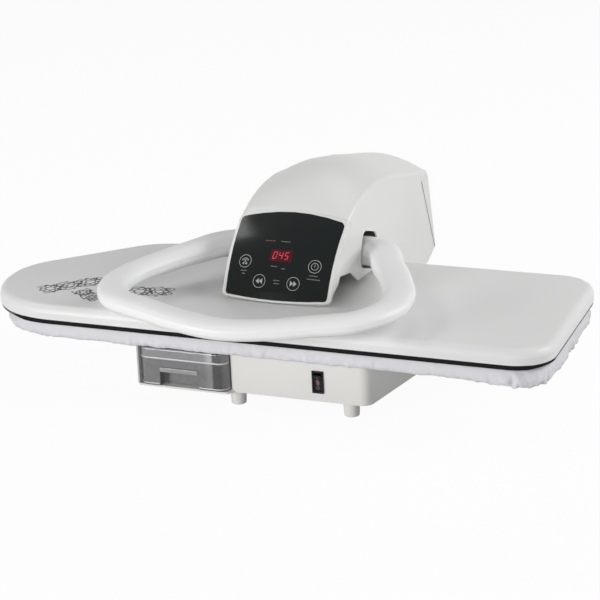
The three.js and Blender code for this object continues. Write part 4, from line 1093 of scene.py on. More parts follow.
def vent_tree(
    name: str, radius: float, wall: float, height: float, material: bpy.types.Material
) -> Repeat:
    """Low open rings, one on each point, flat on Z.

    Args:
        name: The tree's name.
        radius: The ring's outer radius in millimetres.
        wall: The ring's width in millimetres.
        height: Its height in millimetres.
        material: The finish.

    Returns:
        The tree.
    """
    tree = Repeat(name, {"Radius": radius * MM, "Wall": wall * MM, "Height": height * MM})
    outer = tree.value("GeometryNodeMeshCylinder", {}, {
        "Vertices": 12, "Radius": tree.size("Radius"), "Depth": tree.size("Height"),
    }, "Mesh")
    inner = tree.value("GeometryNodeMeshCylinder", {}, {
        "Vertices": 12, "Radius": tree.size("Radius") - tree.size("Wall"),
        "Depth": tree.size("Height") * 3.0,
    }, "Mesh")
    ring = tree.value("GeometryNodeMeshBoolean", {"operation": "DIFFERENCE"}, {0: outer, 1: inner})
    placed = tree.value("GeometryNodeInstanceOnPoints", {}, {
        "Points": tree.out(tree.group, "Geometry"), "Instance": ring,
    })
    tree.close(placed, material)
    return tree


# Board


@dataclass(frozen=True)
class Crease:
    """A family of creases in the cover's edge, drawn from smooth noise.

    The spacing and the lean are in millimetres. The wander is the family's share of the cloth's
    sway, the rise is how much the family changes from the hem to the top, and the level and the
    seed pick its slice of the noise.
    """

    spacing: float
    seed: float
    rise: float = 0.0
    lean: float = 0.0
    wander: float = 0.0
    level: float = 0.0
    steepness: float = 3.2
    sharpness: float = 1.6

    def wave(self, run: float, up: float, sway: float) -> float:
        """The noise at a place of the edge, from -1 to 1."""
        along = (run + sway * self.wander + up * self.lean) / self.spacing
        return noise.noise(Vector((along, up * self.rise + self.level, self.seed)))

    def ridge(self, run: float, up: float, sway: float) -> float:
        """The height of a crease: 1 on its line and falling off steeply to 0."""
        return (1.0 - min(abs(self.wave(run, up, sway)) * self.steepness, 1.0)) ** self.sharpness


@dataclass(frozen=True)
class Folds:
    """How the cover's edge is creased, puckered by its elastic and slack. Heights are millimetres."""

    sway: Crease = Crease(52.0, 3.7, rise=0.8)
    pull: Crease = Crease(30.0, 2.3, rise=0.5, lean=15.0, wander=1.0)
    cross: Crease = Crease(19.0, 7.9, rise=0.7, lean=-11.0, wander=-0.7)
    gather: Crease = Crease(9.0, 0.0, rise=0.8, wander=0.4)
    pinch: Crease = Crease(12.6, 9.1, rise=0.6, wander=0.5)
    looseness: Crease = Crease(70.0, 5.5)
    sag: Crease = Crease(21.0, 4.4, level=1.5)
    sway_reach: float = 18.0
    pull_height: float = 2.0
    cross_height: float = 1.5
    hem_share: float = 0.65
    loose_mean: float = 0.75
    loose_swing: float = 0.35
    loose_slack: float = 0.5
    pucker_end: float = 1.1
    pucker_fall: float = 0.7
    gather_height: float = 1.5
    gather_bend: float = 1.3
    pinch_depth: float = 0.7
    pinch_bend: float = 2.6
    pinch_slack: float = 0.7
    belly: float = 0.5
    belly_round: float = 0.8
    belly_slack: float = 1.2
    tucked: float = 1.1
    sag_depth: float = 1.5
    sag_pull: float = 0.8
    sag_gather: float = 0.9
    sag_tight: float = 0.7
    sag_slack: float = 0.9
    least_sag: float = 0.4

    def at(self, run: float, up: float, bend: float, slack: float) -> Flat:
        """How far the cloth stands out and drops at a place.

        Args:
            run: The way along the board's edge.
            up: The place up the edge, from 0 at the hem to 1 at the top.
            bend: How much the outline turns there, from 0 to 1.
            slack: How loose the cloth hangs there, from 0 to 1.

        Returns:
            The way out and the way up, in millimetres.
        """
        sway = self.sway.wave(run, up, 0.0) * self.sway_reach
        pull = self.pull.ridge(run, up, sway)
        gather = self.gather.wave(run, up, sway)
        low = max(1.0 - up * self.pucker_end, 0.0) ** self.pucker_fall
        middle = math.sin(min(max(up, 0.0), 1.0) * math.pi) ** self.belly_round
        loose = self.loose_mean + self.looseness.wave(run, up, sway) * self.loose_swing
        loose += slack * self.loose_slack
        creased = pull * self.pull_height + self.cross.ridge(run, up, sway) * self.cross_height
        out = creased * (1.0 - self.hem_share + low * self.hem_share) * loose * (1.0 - up ** 4)
        out += gather * self.gather_height * low * (1.0 + bend * self.gather_bend)
        pinched = self.pinch_depth + bend * self.pinch_bend + slack * self.pinch_slack
        out -= self.pinch.ridge(run, up, sway) * pinched * low
        out += middle * (self.belly + slack * self.belly_slack) - self.tucked
        drop = self.sag.wave(run, up, sway) * self.sag_depth
        drop += pull * self.sag_pull - gather * self.sag_gather
        drop = max(drop + self.least_sag, -self.least_sag)
        return out, -drop * low * (self.sag_tight + slack * self.sag_slack)


@dataclass
class Board:
    """The padded board: pan, foam and a stretched cotton cover with a gathered hem.

    The profile runs from the hem, round the board's edge and onto its top. Each of its rows gives the
    way in from the outline and the height, and the hang tells how far the first rows follow a sag.
    """

    shop: Workshop
    length: float = 810.0
    depth: float = 316.0
    offset: float = 9.0
    nose_radius: float = 125.0
    nose_back: float = 4.5
    nose_run: float = 136.0
    side_radius: float = 90.0
    taper: float = 22.0
    front_corner: float = 48.0
    rear_corner: float = 55.0
    step: float = 1.7
    bend_points: int = 6
    bend_radius: float = 55.0
    slack_from: float = 250.0
    slack_run: float = 130.0
    slack_out: float = 4.6
    slack_drop: float = 2.6
    slack_top: float = 0.65
    slack_rows: float = 3.0
    edge_foot: float = 76.0
    edge_height: float = 21.0
    hidden_rows: int = 4
    top_rows: int = 3
    end_share: float = 0.4
    top: float = 98.8
    hang: Sequence[float] = (0.0, 0.1, 0.15, 0.25, 0.5, 0.9)
    profile: Sequence[Flat] = (
        (24.0, 77.3), (24.4, 76.4), (22.5, 75.9), (18.5, 75.7), (14.8, 76.1), (12.0, 77.2),
        (10.2, 79.0), (9.2, 81.2), (8.7, 83.6), (8.4, 86.2), (8.4, 88.8), (8.6, 91.2), (9.0, 93.4),
        (9.8, 95.3), (11.2, 96.9), (13.2, 97.9), (16.0, 98.5), (20.0, 98.75), (30.0, 98.8),
    )
    folds: Folds = Folds()
    stitch_row: Flat = (20.0, 75.35)
    stitch_step: float = 6.0
    stitch: tuple[float, float, float] = (5.0, 3.2, 0.6)
    soft_angle: float = 70.0

    def corners(self) -> list[Corner]:
        """The board's outline.

        Returns:
            The outline's corners, anticlockwise.
        """
        left = -self.length / 2 - self.offset
        right = self.length / 2 - self.offset
        half = self.depth / 2
        return [
            Corner(left, -half, self.nose_radius), Corner(right, -half, self.front_corner),
            Corner(right - self.taper, half, self.rear_corner),
            Corner(left + self.nose_run, half, self.side_radius),
            Corner(left, self.nose_back, self.side_radius),
        ]

    def _row(self, j: int) -> tuple[float, float, float]:
        """A profile row's place up the edge, and its shares of the folds and of the sag.

        Args:
            j: The row's number.

        Returns:
            The place up the edge and the two shares.
        """
        last = len(self.profile) - 1
        rise = (self.profile[j][1] - self.edge_foot) / self.edge_height
        up = min(max(rise, 0.0), 1.0) if j > self.hidden_rows else 0.0
        share = 1.0 if 1 < j < last - self.top_rows else 0.0 if j in (0, last) else self.end_share
        return up, share, self.hang[j] if j < len(self.hang) else 1.0

    def _slack(self, x: float) -> float:
        """How slack the cover is there: 1 at the board's square end, and 0 over most of it."""
        share = min(max((x - self.slack_from) / self.slack_run, 0.0), 1.0)
        return share * share * (3.0 - 2.0 * share)

    def _bends(self, rim: Sequence[tuple[Vector, Vector]]) -> list[float]:
        """How much the outline turns at each point: 1 on a corner of the bend's radius or less.

        Args:
            rim: The outline's points with their normals.

        Returns:
            A share for each point.
        """
        near, count = self.bend_points, len(rim)
        return [
            min(
                rim[(i + near) % count][1].angle(rim[i - near][1])
                * self.bend_radius / (near * 2.0) / self.step, 1.0,
            ) for i in range(count)
        ]

    def cloth(self) -> None:
        """Builds the cover with its crowned edge and gathered hem."""
        rim = outline(self.corners(), self.step)
        bends = self._bends(rim)
        count, rows = len(rim), len(self.profile)
        run = [0.0]
        for i in range(1, count):
            run.append(run[-1] + (rim[i][0] - rim[i - 1][0]).length)
        points: list[Vector] = []
        for j, (inset, z) in enumerate(self.profile):
            up, share, hang = self._row(j)
            for i, (place, normal) in enumerate(rim):
                slack = self._slack(place.x)
                out, drop = self.folds.at(run[i], up, bends[i], slack)
                out += slack * self.slack_out * (1.0 - up * self.slack_top)
                loose = slack * self.slack_drop * (1.0 - up) * min(j / self.slack_rows, 1.0)
                drop = drop * hang - loose
                spot = place - normal * (inset - out * share)
                points.append(self.shop.at(spot.x, spot.y, min(z + drop, self.top)))
        faces: list[Sequence[int]] = []
        for j in range(rows - 1):
            for i in range(count):
                k = (i + 1) % count
                faces.append((j * count + i, j * count + k, (j + 1) * count + k, (j + 1) * count + i))
        faces.append(range((rows - 1) * count, rows * count))
        piece = self.shop.mesh("board_cloth", points, faces)
        self.shop.smooth(piece, self.soft_angle)
        self.shop.finish(piece, "base", Finish.CLOTH, "cloth", ["board_cover"])

    def hem_stitches(self) -> None:
        """Builds the stitch row of the hem's drawstring channel."""
        curve = bpy.data.curves.new("hem_stitches", "CURVE")
        curve.dimensions = "3D"
        line = curve.splines.new("POLY")
        rim = outline(self.corners(), self.stitch_step)
        line.points.add(len(rim) - 1)
        inset, height = self.stitch_row
        for point, (place, normal) in zip(line.points, rim):
            spot = place - normal * inset
            point.co = (*self.shop.at(spot.x, spot.y, height), 1.0)
        line.use_cyclic_u = True
        tree = stitch_tree("hem_stitch", *self.stitch, self.shop.palette.get(Finish.THREAD))
        piece = tree.run(self.shop, put("hem_stitches", curve))
        self.shop.finish(piece, "base", Finish.THREAD, "cloth")

    def build(self) -> None:
        """Builds the board."""
        self.cloth()
        self.hem_stitches()
        self.shop.dress("foam_pad", Finish.FOAM)
        self.shop.skin("board_pan", Finish.STEEL)


# Upper plate


def around(centre: Vector, radius: float, angle: float) -> Vector:
    """A point on a flat circle, at an angle in radians."""
    return centre + Vector((math.cos(angle), math.sin(angle))) * radius


def strip(line: Sequence[Vector], wide: float, thin: float) -> Patch:
    """A flat line that narrows from one width at its start to another at its end.

    Args:
        line: The points of its middle line.
        wide: Its width at the start.
        thin: Its width at the end.

    Returns:
        The patch.
    """
    points, faces = [], []
    for i, here in enumerate(line):
        last, following = line[max(i - 1, 0)], line[min(i + 1, len(line) - 1)]
        side = (following - last).normalized()
        side = Vector((-side.y, side.x)) * (wide + (thin - wide) * i / (len(line) - 1)) / 2
        points += [here + side, here - side]
        if i:
            faces.append((i * 2 - 2, i * 2 - 1, i * 2 + 1, i * 2))
    return points, faces


def lozenge(centre: Vector, long_side: float, short_side: float) -> Patch:
    """A filled lozenge."""
    spots = ((0.0, short_side), (-long_side, 0.0), (0.0, -short_side), (long_side, 0.0))
    return [centre + Vector(spot) for spot in spots], [(0, 1, 2, 3)]


@dataclass(frozen=True)
class Border:
    """A printed band of wheels with coils and lozenges between them, along X round zero.

    Lengths and widths are millimetres. A place or a size across the band is a share of its half, and
    one in a wheel is a share of the wheel's radius.
    """

    length: float
    half: float
    wheels: int
    large: float = 0.8
    small: float = 0.62
    scallop: float = 0.11
    hub: float = 0.5
    spoke: Flat = (0.55, 0.86)
    coil_place: float = 0.52
    coil_size: float = 0.42
    coil_turns: float = 1.5
    coil_start: float = 2.2
    coil_close: float = 0.8
    wave_place: float = 0.86
    wave_height: float = 0.14
    tip_place: float = 1.04
    tip_size: Flat = (3.6, 1.6)
    bead_size: Flat = (2.4, 1.5)
    rim_line: float = 2.6
    hub_line: float = 2.2
    end_line: float = 1.2
    wave_line: float = 1.9
    coil_steps: int = 36
    wave_steps: int = 80
    rim_steps: int = 60
    hub_steps: int = 28

    def _coil(self, centre: Vector, flip: float) -> Patch:
        """A spiral that closes in on its centre.

        Args:
            centre: Its centre.
            flip: Which way it winds, 1 or -1.

        Returns:
            The patch.
        """
        steps, radius = self.coil_steps, self.half * self.coil_size
        turns, start = self.coil_turns * flip, self.coil_start * flip
        spots = [
            around(centre, radius * (1.0 - share * self.coil_close), start + turns * share * math.tau)
            for share in (i / steps for i in range(steps + 1))
        ]
        return strip(spots, self.rim_line, self.end_line)

    def _wheel(self, centre: Vector, radius: float, spokes: int) -> list[Patch]:
        """A ring in a scalloped rim, with spokes.

        Args:
            centre: Its centre.
            radius: Its mean radius.
            spokes: How many spokes and scallops it has.

        Returns:
            The patches.
        """
        rim = [
            centre + Vector((math.cos(a), math.sin(a))) * radius * (1.0 + self.scallop * math.cos(a * spokes))
            for a in (k / self.rim_steps * math.tau for k in range(self.rim_steps + 1))
        ]
        ring = [
            centre + Vector((math.cos(a), math.sin(a))) * radius * self.hub
            for a in (k / self.hub_steps * math.tau for k in range(self.hub_steps + 1))
        ]
        shapes = [strip(rim, self.rim_line, self.rim_line), strip(ring, self.hub_line, self.hub_line)]
        for k in range(spokes):
            angle = (k + 0.5) / spokes * math.tau
            way = Vector((math.cos(angle), math.sin(angle)))
            ends = [centre + way * radius * share for share in self.spoke]
            shapes.append(strip(ends, self.hub_line, self.end_line))
        return shapes

    def _wave(self, flip: float) -> Patch:
        """The waved line along one side of the band.

        Args:
            flip: Which side of the band it runs on, 1 or -1.

        Returns:
            The patch.
        """
        pitch, steps = self.length / self.wheels, self.wave_steps
        spots = []
        for k in range(steps + 1):
            u = k / steps * self.length
            swing = math.sin(u * math.tau / pitch) * self.half * self.wave_height
            spots.append(Vector((u - self.length / 2, (self.half * self.wave_place + swing) * flip)))
        return strip(spots, self.wave_line, self.wave_line)

    def shapes(self) -> list[Patch]:
        """The band's patches.

        Returns:
            All patches of the band.
        """
        pitch = self.length / self.wheels
        shapes: list[Patch] = []
        for i in range(self.wheels):
            x = (i + 0.5) * pitch - self.length / 2
            share, spokes = (self.small, 6) if i % 2 else (self.large, 8)
            shapes += self._wheel(Vector((x, 0.0)), self.half * share, spokes)
            for flip in (-1.0, 1.0):
                shapes.append(self._coil(Vector((x + pitch / 2, self.half * self.coil_place * flip)), flip))
                shapes.append(lozenge(Vector((x, self.half * self.tip_place * flip)), *self.tip_size))
            shapes.append(lozenge(Vector((x + pitch / 2, 0.0)), *self.bead_size))
        return shapes + [self._wave(flip) for flip in (-1.0, 1.0)]


@dataclass
class Plate:
    """The heated plate with its steam holes, and the glossy cover with a printed scroll.

    The plate's nose lies left of the nose_from line, where it narrows by nose_slope from nose_middle.
    """

    shop: Workshop
    top: float = 124.6
    under: float = 99.1
    lift: float = 0.06
    hole_pitch: float = 24.0
    hole_ring: tuple[float, float, float] = (3.2, 1.4, 0.2)
    half_run: float = 330.0
    half_depth: float = 118.0
    end_gap: float = 10.0
    nose_from: float = -200.0
    nose_tip: float = -420.0
    nose_middle: float = 4.5
    nose_slope: float = 0.55
    edge: Flat = (99.0, 104.8)
    edge_out: float = 0.08
    edge_in: float = 1.3
    edge_run: Flat = (-352.0, 393.0)
    edge_fade: float = 24.0
    edge_tip: float = 0.1
    edge_step: float = 4.0

    def holes(self) -> None:
        """Builds the rings round the steam holes, in staggered rows."""
        points = []
        rows = int(self.half_depth * 2 // self.hole_pitch)
        for row in range(rows + 1):
            y = -self.half_depth + row * self.hole_pitch
            x = -self.half_run + (self.hole_pitch / 2 if row % 2 else 0.0)
            while x <= self.half_run - self.end_gap:
                reach = (x - self.nose_tip) * self.nose_slope
                if x >= self.nose_from or abs(y - self.nose_middle) <= reach:
                    points.append(self.shop.at(x, y, self.under - self.lift))
                x += self.hole_pitch
        carrier = self.shop.mesh("steam_holes", points, [])
        tree = vent_tree("steam_hole", *self.hole_ring, self.shop.palette.get(Finish.CAST))
        self.shop.finish(tree.run(self.shop, carrier), "plate", Finish.CAST, "cast")

    def ornament(self, name: str, bands: Sequence[tuple[float, float, float, Border]]) -> None:
        """Lays printed bands on the cover.

        Args:
            name: The piece's name.
            bands: Each band's middle, its angle in degrees and its border.
        """
        shapes: list[Patch] = []
        for x, y, angle, border in bands:
            turn, middle = Matrix.Rotation(math.radians(angle), 2), Vector((x, y))
            shapes += [([middle + turn @ spot for spot in spots], quads) for spots, quads in border.shapes()]
        piece = self.shop.printed(
            name, shapes, lambda x, y: self.shop.at(x, y, self.top + self.lift), Vector((0.0, 0.0, 1.0))
        )
        self.shop.finish(piece, "plate", Finish.PRINT, "gloss")

    def edge_band(self) -> None:
        """Builds the dark band round the front of the plate's edge, partly painted shade."""
        # The band covers the plate's dark side and a little beyond it, darker than the plate: partly the real
        # dark edge, partly painted shade of the gap under the plate.
        low, high = self.edge
        start, end = self.edge_run
        corners = ((self.edge_in, -1.0), (-self.edge_out, -1.0), (-self.edge_out, 1.0), (self.edge_in, 1.0))
        rim = [
            (place, normal) for place, normal in outline(Board(self.shop).corners(), self.edge_step)
            if start <= place.x <= end and normal.y < 0.0
        ]
        rim.sort(key=lambda pair: pair[0].x)
        count, sides = len(rim), len(corners)
        points: list[Vector] = []
        for inset, rise in corners:
            for place, normal in rim:
                fade = min((place.x - start) / self.edge_fade, (end - place.x) / self.edge_fade, 1.0)
                half = (high - low) / 2.0 * (self.edge_tip + (1.0 - self.edge_tip) * max(fade, 0.0))
                spot = place - normal * inset
                points.append(self.shop.at(spot.x, spot.y, (low + high) / 2.0 + rise * half))
        faces: list[Sequence[int]] = [
            (j * count + i, j * count + i + 1, (j + 1) % sides * count + i + 1, (j + 1) % sides * count + i)
            for j in range(sides) for i in range(count - 1)
        ]
        faces += [[j * count + tip for j in range(sides)] for tip in (0, count - 1)]
        piece = self.shop.tidy(self.shop.mesh("edge_band", points, faces))
        body, slot = self.shop.body_of["heated_plate"], self.shop.slot_of["heated_plate"]
        self.shop.finish(piece, body, Finish.EDGE, slot)

    def build(self) -> None:
        """Builds the upper plate."""
        self.shop.skins(
            ("top_cover", Finish.GLOSS), ("heated_plate", Finish.COAT),
            ("steam_chamber", Finish.CAST, 0.6), ("heating_element", Finish.STEEL, 0.0, 50.0),
            ("thermostat", Finish.BLACK, 0.5), ("yoke", Finish.STEEL, 0.5),
        )
        self.edge_band()
        self.holes()
        self.ornament("ornament_nose", [
            (-301.0, -70.0, 47.0, Border(86.0, 17.0, 3)), (-258.0, -101.0, -36.0, Border(54.0, 12.0, 2)),
        ])
        self.ornament("ornament_inner", [(-183.0, -66.0, 14.0, Border(54.0, 19.0, 2))])


# Base and tank


@dataclass
class Base:
    """The housing, its floor, feet, switch, hinge column and what stands inside.

    The rocker's face meets in a shallow valley at its middle. Places on it go across, up from the
    valley along the face and out from it.
    """

    shop: Workshop
    floor_under: float = 20.0
    screws: Sequence[Flat] = (
        (-60.0, -100.0), (138.0, -96.0), (-140.0, 60.0), (140.0, 60.0), (0.0, 110.0),
        (-120.0, 200.0), (120.0, 200.0),
    )
    screw_sink: float = 0.8
    screw: Flat = (3.6, 2.0)
    switch: tuple[float, float, float] = (84.5, -126.0, 46.5)
    tilt: float = 8.0
    valley: float = 4.5
    ridge: float = 6.5
    half_rocker: float = 11.0
    mark_lift: float = 0.08
    bar_half: float = 0.45
    bar_ends: Flat = (5.4, 8.8)
    ring: Flat = (1.5, 2.2)
    ring_down: float = 7.2
    ring_steps: int = 28
    lamp: tuple[float, float, float] = (2.3, 0.6, 4.2)
    lamp_sunk: float = 0.2

    def floor_screws(self) -> None:
        """Builds the screws under the floor."""
        points = [self.shop.at(x, y, self.floor_under - self.screw_sink) for x, y in self.screws]
        carrier = self.shop.mesh("floor_screws", points, [])
        steel = self.shop.palette.get(Finish.STEEL)
        tree = screw_tree("floor_screw", *self.screw, (0.0, 0.0, -1.0), steel)
        self.shop.finish(tree.run(self.shop, carrier), "base", Finish.STEEL, "steel")

    def _on_rocker(self, x: float, up: float, lift: float) -> Vector:
        """A point above the rocker's tilted face.

        Args:
            x: The way across from its middle.
            up: The way up from its valley.
            lift: The way out from its face.

        Returns:
            The point in the row frame.
        """
        turn = math.radians(self.tilt)
        out = self.valley + (self.ridge - self.valley) / self.half_rocker * abs(up) + lift
        return self.shop.at(
            self.switch[0] + x, self.switch[1] - out * math.cos(turn) - up * math.sin(turn),
            self.switch[2] - out * math.sin(turn) + up * math.cos(turn),
        )

    def rocker_marks(self) -> None:
        """Builds the rocker's bar and ring marks, and its lamp window."""
        half, (low, high) = self.bar_half, self.bar_ends
        bar = ((-half, low), (half, low), (half, high), (-half, high))
        points = [self._on_rocker(x, up, self.mark_lift) for x, up in bar]
        faces: list[Sequence[int]] = [(0, 1, 2, 3)]
        start = len(points)
        for k in range(self.ring_steps):
            angle = k / self.ring_steps * math.tau
            for radius in self.ring:
                x, up = math.cos(angle) * radius, math.sin(angle) * radius - self.ring_down
                points.append(self._on_rocker(x, up, self.mark_lift))
            j = (k + 1) % self.ring_steps
            faces.append((start + k * 2, start + k * 2 + 1, start + j * 2 + 1, start + j * 2))
        marks = self.shop.tidy(self.shop.mesh("rocker_marks", points, faces))
        self.shop.finish(marks, "rocker", Finish.LABEL, "black")
        half, thick, tall = self.lamp
        shape = bmesh.new()
        bmesh.ops.create_uvsphere(shape, u_segments=20, v_segments=12, radius=1.0)
        for vert in shape.verts:
            x, y, z = vert.co
            vert.co = self._on_rocker(x * half, z * tall, max(y, -self.lamp_sunk) * thick)
        data = bpy.data.meshes.new("rocker_lamp")
        shape.to_mesh(data)
        shape.free()
        lamp = self.shop.tidy(put("rocker_lamp", data), 60.0)
        self.shop.finish(lamp, "rocker", Finish.NEON, "red")

    def build(self) -> None:
        """Builds the base."""
        self.shop.skins(
            ("base_shell", Finish.HOUSING, 0.7), ("base_floor", Finish.HOUSING, 0.3),
            ("rear_column", Finish.HOUSING, 0.6), ("foot_front_left", Finish.FOOT, 0.4, 40.0),
            ("foot_front_right", Finish.FOOT, 0.4, 40.0), ("foot_rear_left", Finish.FOOT, 0.4, 40.0),
            ("foot_rear_right", Finish.FOOT, 0.4, 40.0), ("cord_gland", Finish.BLACK, 0.4, 40.0),
            ("switch_bezel", Finish.SWITCH, 0.5), ("power_rocker", Finish.SWITCH, 0.3, 20.0),
            ("hinge_bracket_left", Finish.STEEL, 0.4), ("bush_left", Finish.BRONZE, 0.2),
            ("hinge_bracket_right", Finish.STEEL, 0.4), ("bush_right", Finish.BRONZE, 0.2),
            ("hinge_shaft", Finish.STEEL, 0.5), ("pump", Finish.BLACK, 0.5),
            ("inlet_hose", Finish.HOSE, 0.0, 50.0), ("power_board", Finish.CIRCUIT, 0.3),
            ("tank_dock", Finish.BLACK, 0.4),
        )
        self.floor_screws()
        self.rocker_marks()


@dataclass
class Tank:
    """The see-through water tank with its lid, cap and grip."""

    shop: Workshop
    left: float = -165.8
    right: float = -39.8
    front: float = -143.0
    corner: float = 13.0
    shown: float = 11.5
    overlap: float = 1.6
    hidden: float = 40.0
    hidden_corner: float = 4.0
    step: float = 1.5
    sunk: float = 0.05
    recess: Flat = (-135.8, -79.4)
    bead_sides: int = 8

    def _rim(self) -> list[tuple[Vector, Vector]]:
        """Points round the part of the tank that stands out of the base, from left to right.

        Returns:
            The points with their outward normals.
        """
        back = self.front + self.shown
        deep = back + self.hidden
        rim = outline([
            Corner(self.left, self.front, self.corner), Corner(self.right, self.front, self.corner),
            Corner(self.right, deep, self.hidden_corner), Corner(self.left, deep, self.hidden_corner),
        ], self.step)
        shown = [pair for pair in rim if pair[0].y <= back + self.overlap]
        start = next(
            i for i, (place, _) in enumerate(shown) if (shown[i - 1][0] - place).length > self.shown
        )
        return shown[start:] + shown[:start]

    def bead(self, name: str, z: float, half: float, out: float, finish: Finish, gap: bool) -> None:
        """Builds a rounded bead round the front of the tank, which paints a highlight or a shadow line.

        Args:
            name: The piece's name.
            z: The height of its middle.
            half: Half its height.
            out: How far it stands out.
            finish: Its finish.
            gap: Whether it stops at the finger recess.
        """
        sides = self.bead_sides
        points: list[Vector] = []
        faces: list[Sequence[int]] = []
        last = None
        for place, normal in self._rim():
            if gap and self.recess[0] < place.x < self.recess[1]:
                last = None
                continue
            start = len(points)
            for k in range(sides + 1):
                angle = (k / sides - 0.5) * math.pi
                spot = place + normal * (math.cos(angle) * out - self.sunk)
                points.append(self.shop.at(spot.x, spot.y, z + math.sin(angle) * half))
            if last is not None:
                faces += [(last + k, start + k, start + k + 1, last + k + 1) for k in range(sides)]
            last = start
        piece = self.shop.mesh(name, points, faces)
        self.shop.smooth(piece, 60.0)
        self.shop.finish(piece, "tank", finish, "clear")

    def build(self) -> None:
        """Builds the tank."""
        self.shop.skins(
            ("tank_body", Finish.SMOKE, 0.8), ("tank_lid", Finish.PALE, 0.4),
            ("tank_grip", Finish.GRIP, 0.4), ("tank_seal", Finish.SEAL),
            ("filler_cap", Finish.SEAL, 0.4), ("tank_valve", Finish.BLACK, 0.3),
            ("tank_guide", Finish.SIDE, 0.3),
        )
        # A bead on the lid's seam, coloured pale as a painted highlight.
        self.bead("tank_seam", 60.9, 1.15, 0.5, Finish.BEAD, False)
        # A pale bead along the bottom edge: a painted highlight.
        self.bead("tank_sill", 25.4, 0.9, 0.35, Finish.BEAD, True)
        # A dark bead under it: a painted shadow line at the tank's foot.
        self.bead("tank_keel", 23.7, 0.5, 0.3, Finish.SEAL, True)


# Head


@dataclass
class Panel:
    """The glossy control panel, its keys, their rings and signs, and the lit display.

    Places on it go across from its middle and up from its lower edge. A caption gives a place, a
    length and the number of bars that stand for its words.
    """

    shop: Workshop
    y: float = -64.0
    z: float = 131.0
    tilt: float = 51.2
    height: float = 110.6
    half_width: float = 71.8
    bulge_up: float = 8.0
    bulge_across: float = 5.0
    lift: float = 0.06
    keys: dict[str, Flat] = field(default_factory=lambda: {
        "steam": (-49.5, 44.0), "down": (-24.2, 18.3), "up": (24.2, 18.3), "power": (49.5, 44.0),
    })
    key_ring: Flat = (8.25, 8.95)
    arrow: Flat = (4.7, 3.7)
    arrow_places: Flat = (-0.3, 4.5)
    steam_low: float = 0.6
    steam_arcs: Sequence[tuple[float, ...]] = ((4.5, 5.2, 15.0, 150.0), (2.7, 3.3, 20.0, 140.0))
    steam_drops: Sequence[tuple[float, ...]] = ((-2.1, -3.3, 1.25), (2.1, -3.3, 1.25), (0.0, -0.4, 1.0))
    power_ring: Flat = (4.3, 5.0)
    power_bar: tuple[float, float, float] = (-0.6, 2.6, 0.8)
    drop_tip: float = 1.7
    drop_sweep: Flat = (150.0, 240.0)
    drop_steps: int = 14
    arc_steps: int = 40
    captions: Sequence[tuple[float, float, float, int]] = (
        (-49.2, 31.0, 9.0, 3), (-48.9, 27.2, 5.0, 2), (-6.6, 39.0, 9.0, 3), (6.9, 36.6, 5.0, 2),
        (0.2, 20.6, 9.0, 3), (0.9, 16.6, 8.0, 2), (50.0, 31.2, 12.0, 4), (50.6, 26.6, 18.0, 5),
        (2.0, 74.6, 13.0, 4),
    )
    caption_line: float = 1.3
    caption_dashes: Flat = (0.38, 0.32)
    digit_up: float = 54.5
    digit_pitch: float = 8.2
    digit_half: Flat = (2.3, 2.35)
    digit_lean: float = 0.16
    digit_gap: float = 0.12
    digit_line: float = 0.95
    lamps: Sequence[float] = (-26.5, -21.5, -16.5)
    lamp_up: float = 74.6
    lamp_size: Flat = (3.4, 1.7)

    def at(self, x: float, up: float, out: float) -> Vector:
        """A point of the panel, out from its crowned face.

        Args:
            x: The way across from its middle.
            up: The way up from its lower edge.
            out: The way out from its face.

        Returns:
            The point in the row frame.
        """
        turn = math.radians(self.tilt)
        crown = max(
            self.bulge_across * (1 - (x / self.half_width) ** 2)
            + self.bulge_up * (1 - (up / (self.height / 2) - 1) ** 2), 0.0,
        )
        reach = crown + out
        return self.shop.at(
            x, self.y + up * math.cos(turn) - reach * math.sin(turn),
            self.z + up * math.sin(turn) + reach * math.cos(turn),
        )

    def _print(self, name: str, body: str, finish: Finish, shapes: Sequence[Patch]) -> None:
        """Lays flat shapes on the crowned face.

        Args:
            name: The piece's name.
            body: The body that carries it.
            finish: Its finish.
            shapes: Its patches.
        """
        out = self.at(0.0, 50.0, 1.0) - self.at(0.0, 50.0, 0.0)
        piece = self.shop.printed(name, shapes, lambda x, up: self.at(x, up, self.lift), out)
        self.shop.finish(piece, body, finish, "lens")

    def arc(
        self, centre: Flat, inner: float, outer: float, start: float = 0.0, sweep: float = 360.0
    ) -> Patch:
        """A flat ring or part of one, in degrees.

        Args:
            centre: Its centre.
            inner: Its inner radius.
            outer: Its outer radius.
            start: The angle at which it starts.
            sweep: The angle that it covers.

        Returns:
            The patch.
        """
        steps = self.arc_steps
        spots: list[Flat] = []
        for k in range(steps + 1):
            angle = math.radians(start + sweep * k / steps)
            for radius in (inner, outer):
                spots.append((centre[0] + math.cos(angle) * radius, centre[1] + math.sin(angle) * radius))
        return spots, [(k * 2, k * 2 + 1, k * 2 + 3, k * 2 + 2) for k in range(steps)]

    @staticmethod
    def bar(x0: float, y0: float, x1: float, y1: float, wide: float) -> Patch:
        """A flat bar from one point to another, with pointed ends.

        Args:
            x0: Its start, across.
            y0: Its start, up.
            x1: Its end, across.
            y1: Its end, up.
            wide: Its width.

        Returns:
            The patch.
        """
        along = Vector((x1 - x0, y1 - y0)).normalized()
        side = Vector((-along.y, along.x)) * wide / 2
        along = along * wide / 2
        return [
            (x0 - along.x, y0 - along.y), (x0 + side.x, y0 + side.y), (x1 + side.x, y1 + side.y),
            (x1 + along.x, y1 + along.y), (x1 - side.x, y1 - side.y), (x0 - side.x, y0 - side.y),
        ], [(0, 1, 2, 3, 4, 5)]

    def arrows(self, key: str, way: float) -> list[Patch]:
        """A key's double arrow, which points along X by the sign of its way.

        Args:
            key: The key's name.
            way: The way it points, 1 or -1.

        Returns:
            The patches.
        """
        (x, up), (length, half) = self.keys[key], self.arrow
        return [
            ([(x + move, up + half), (x + move, up - half), (x + move + length * way, up)], [(0, 1, 2)])
            for move in (-place * way for place in self.arrow_places)
        ]

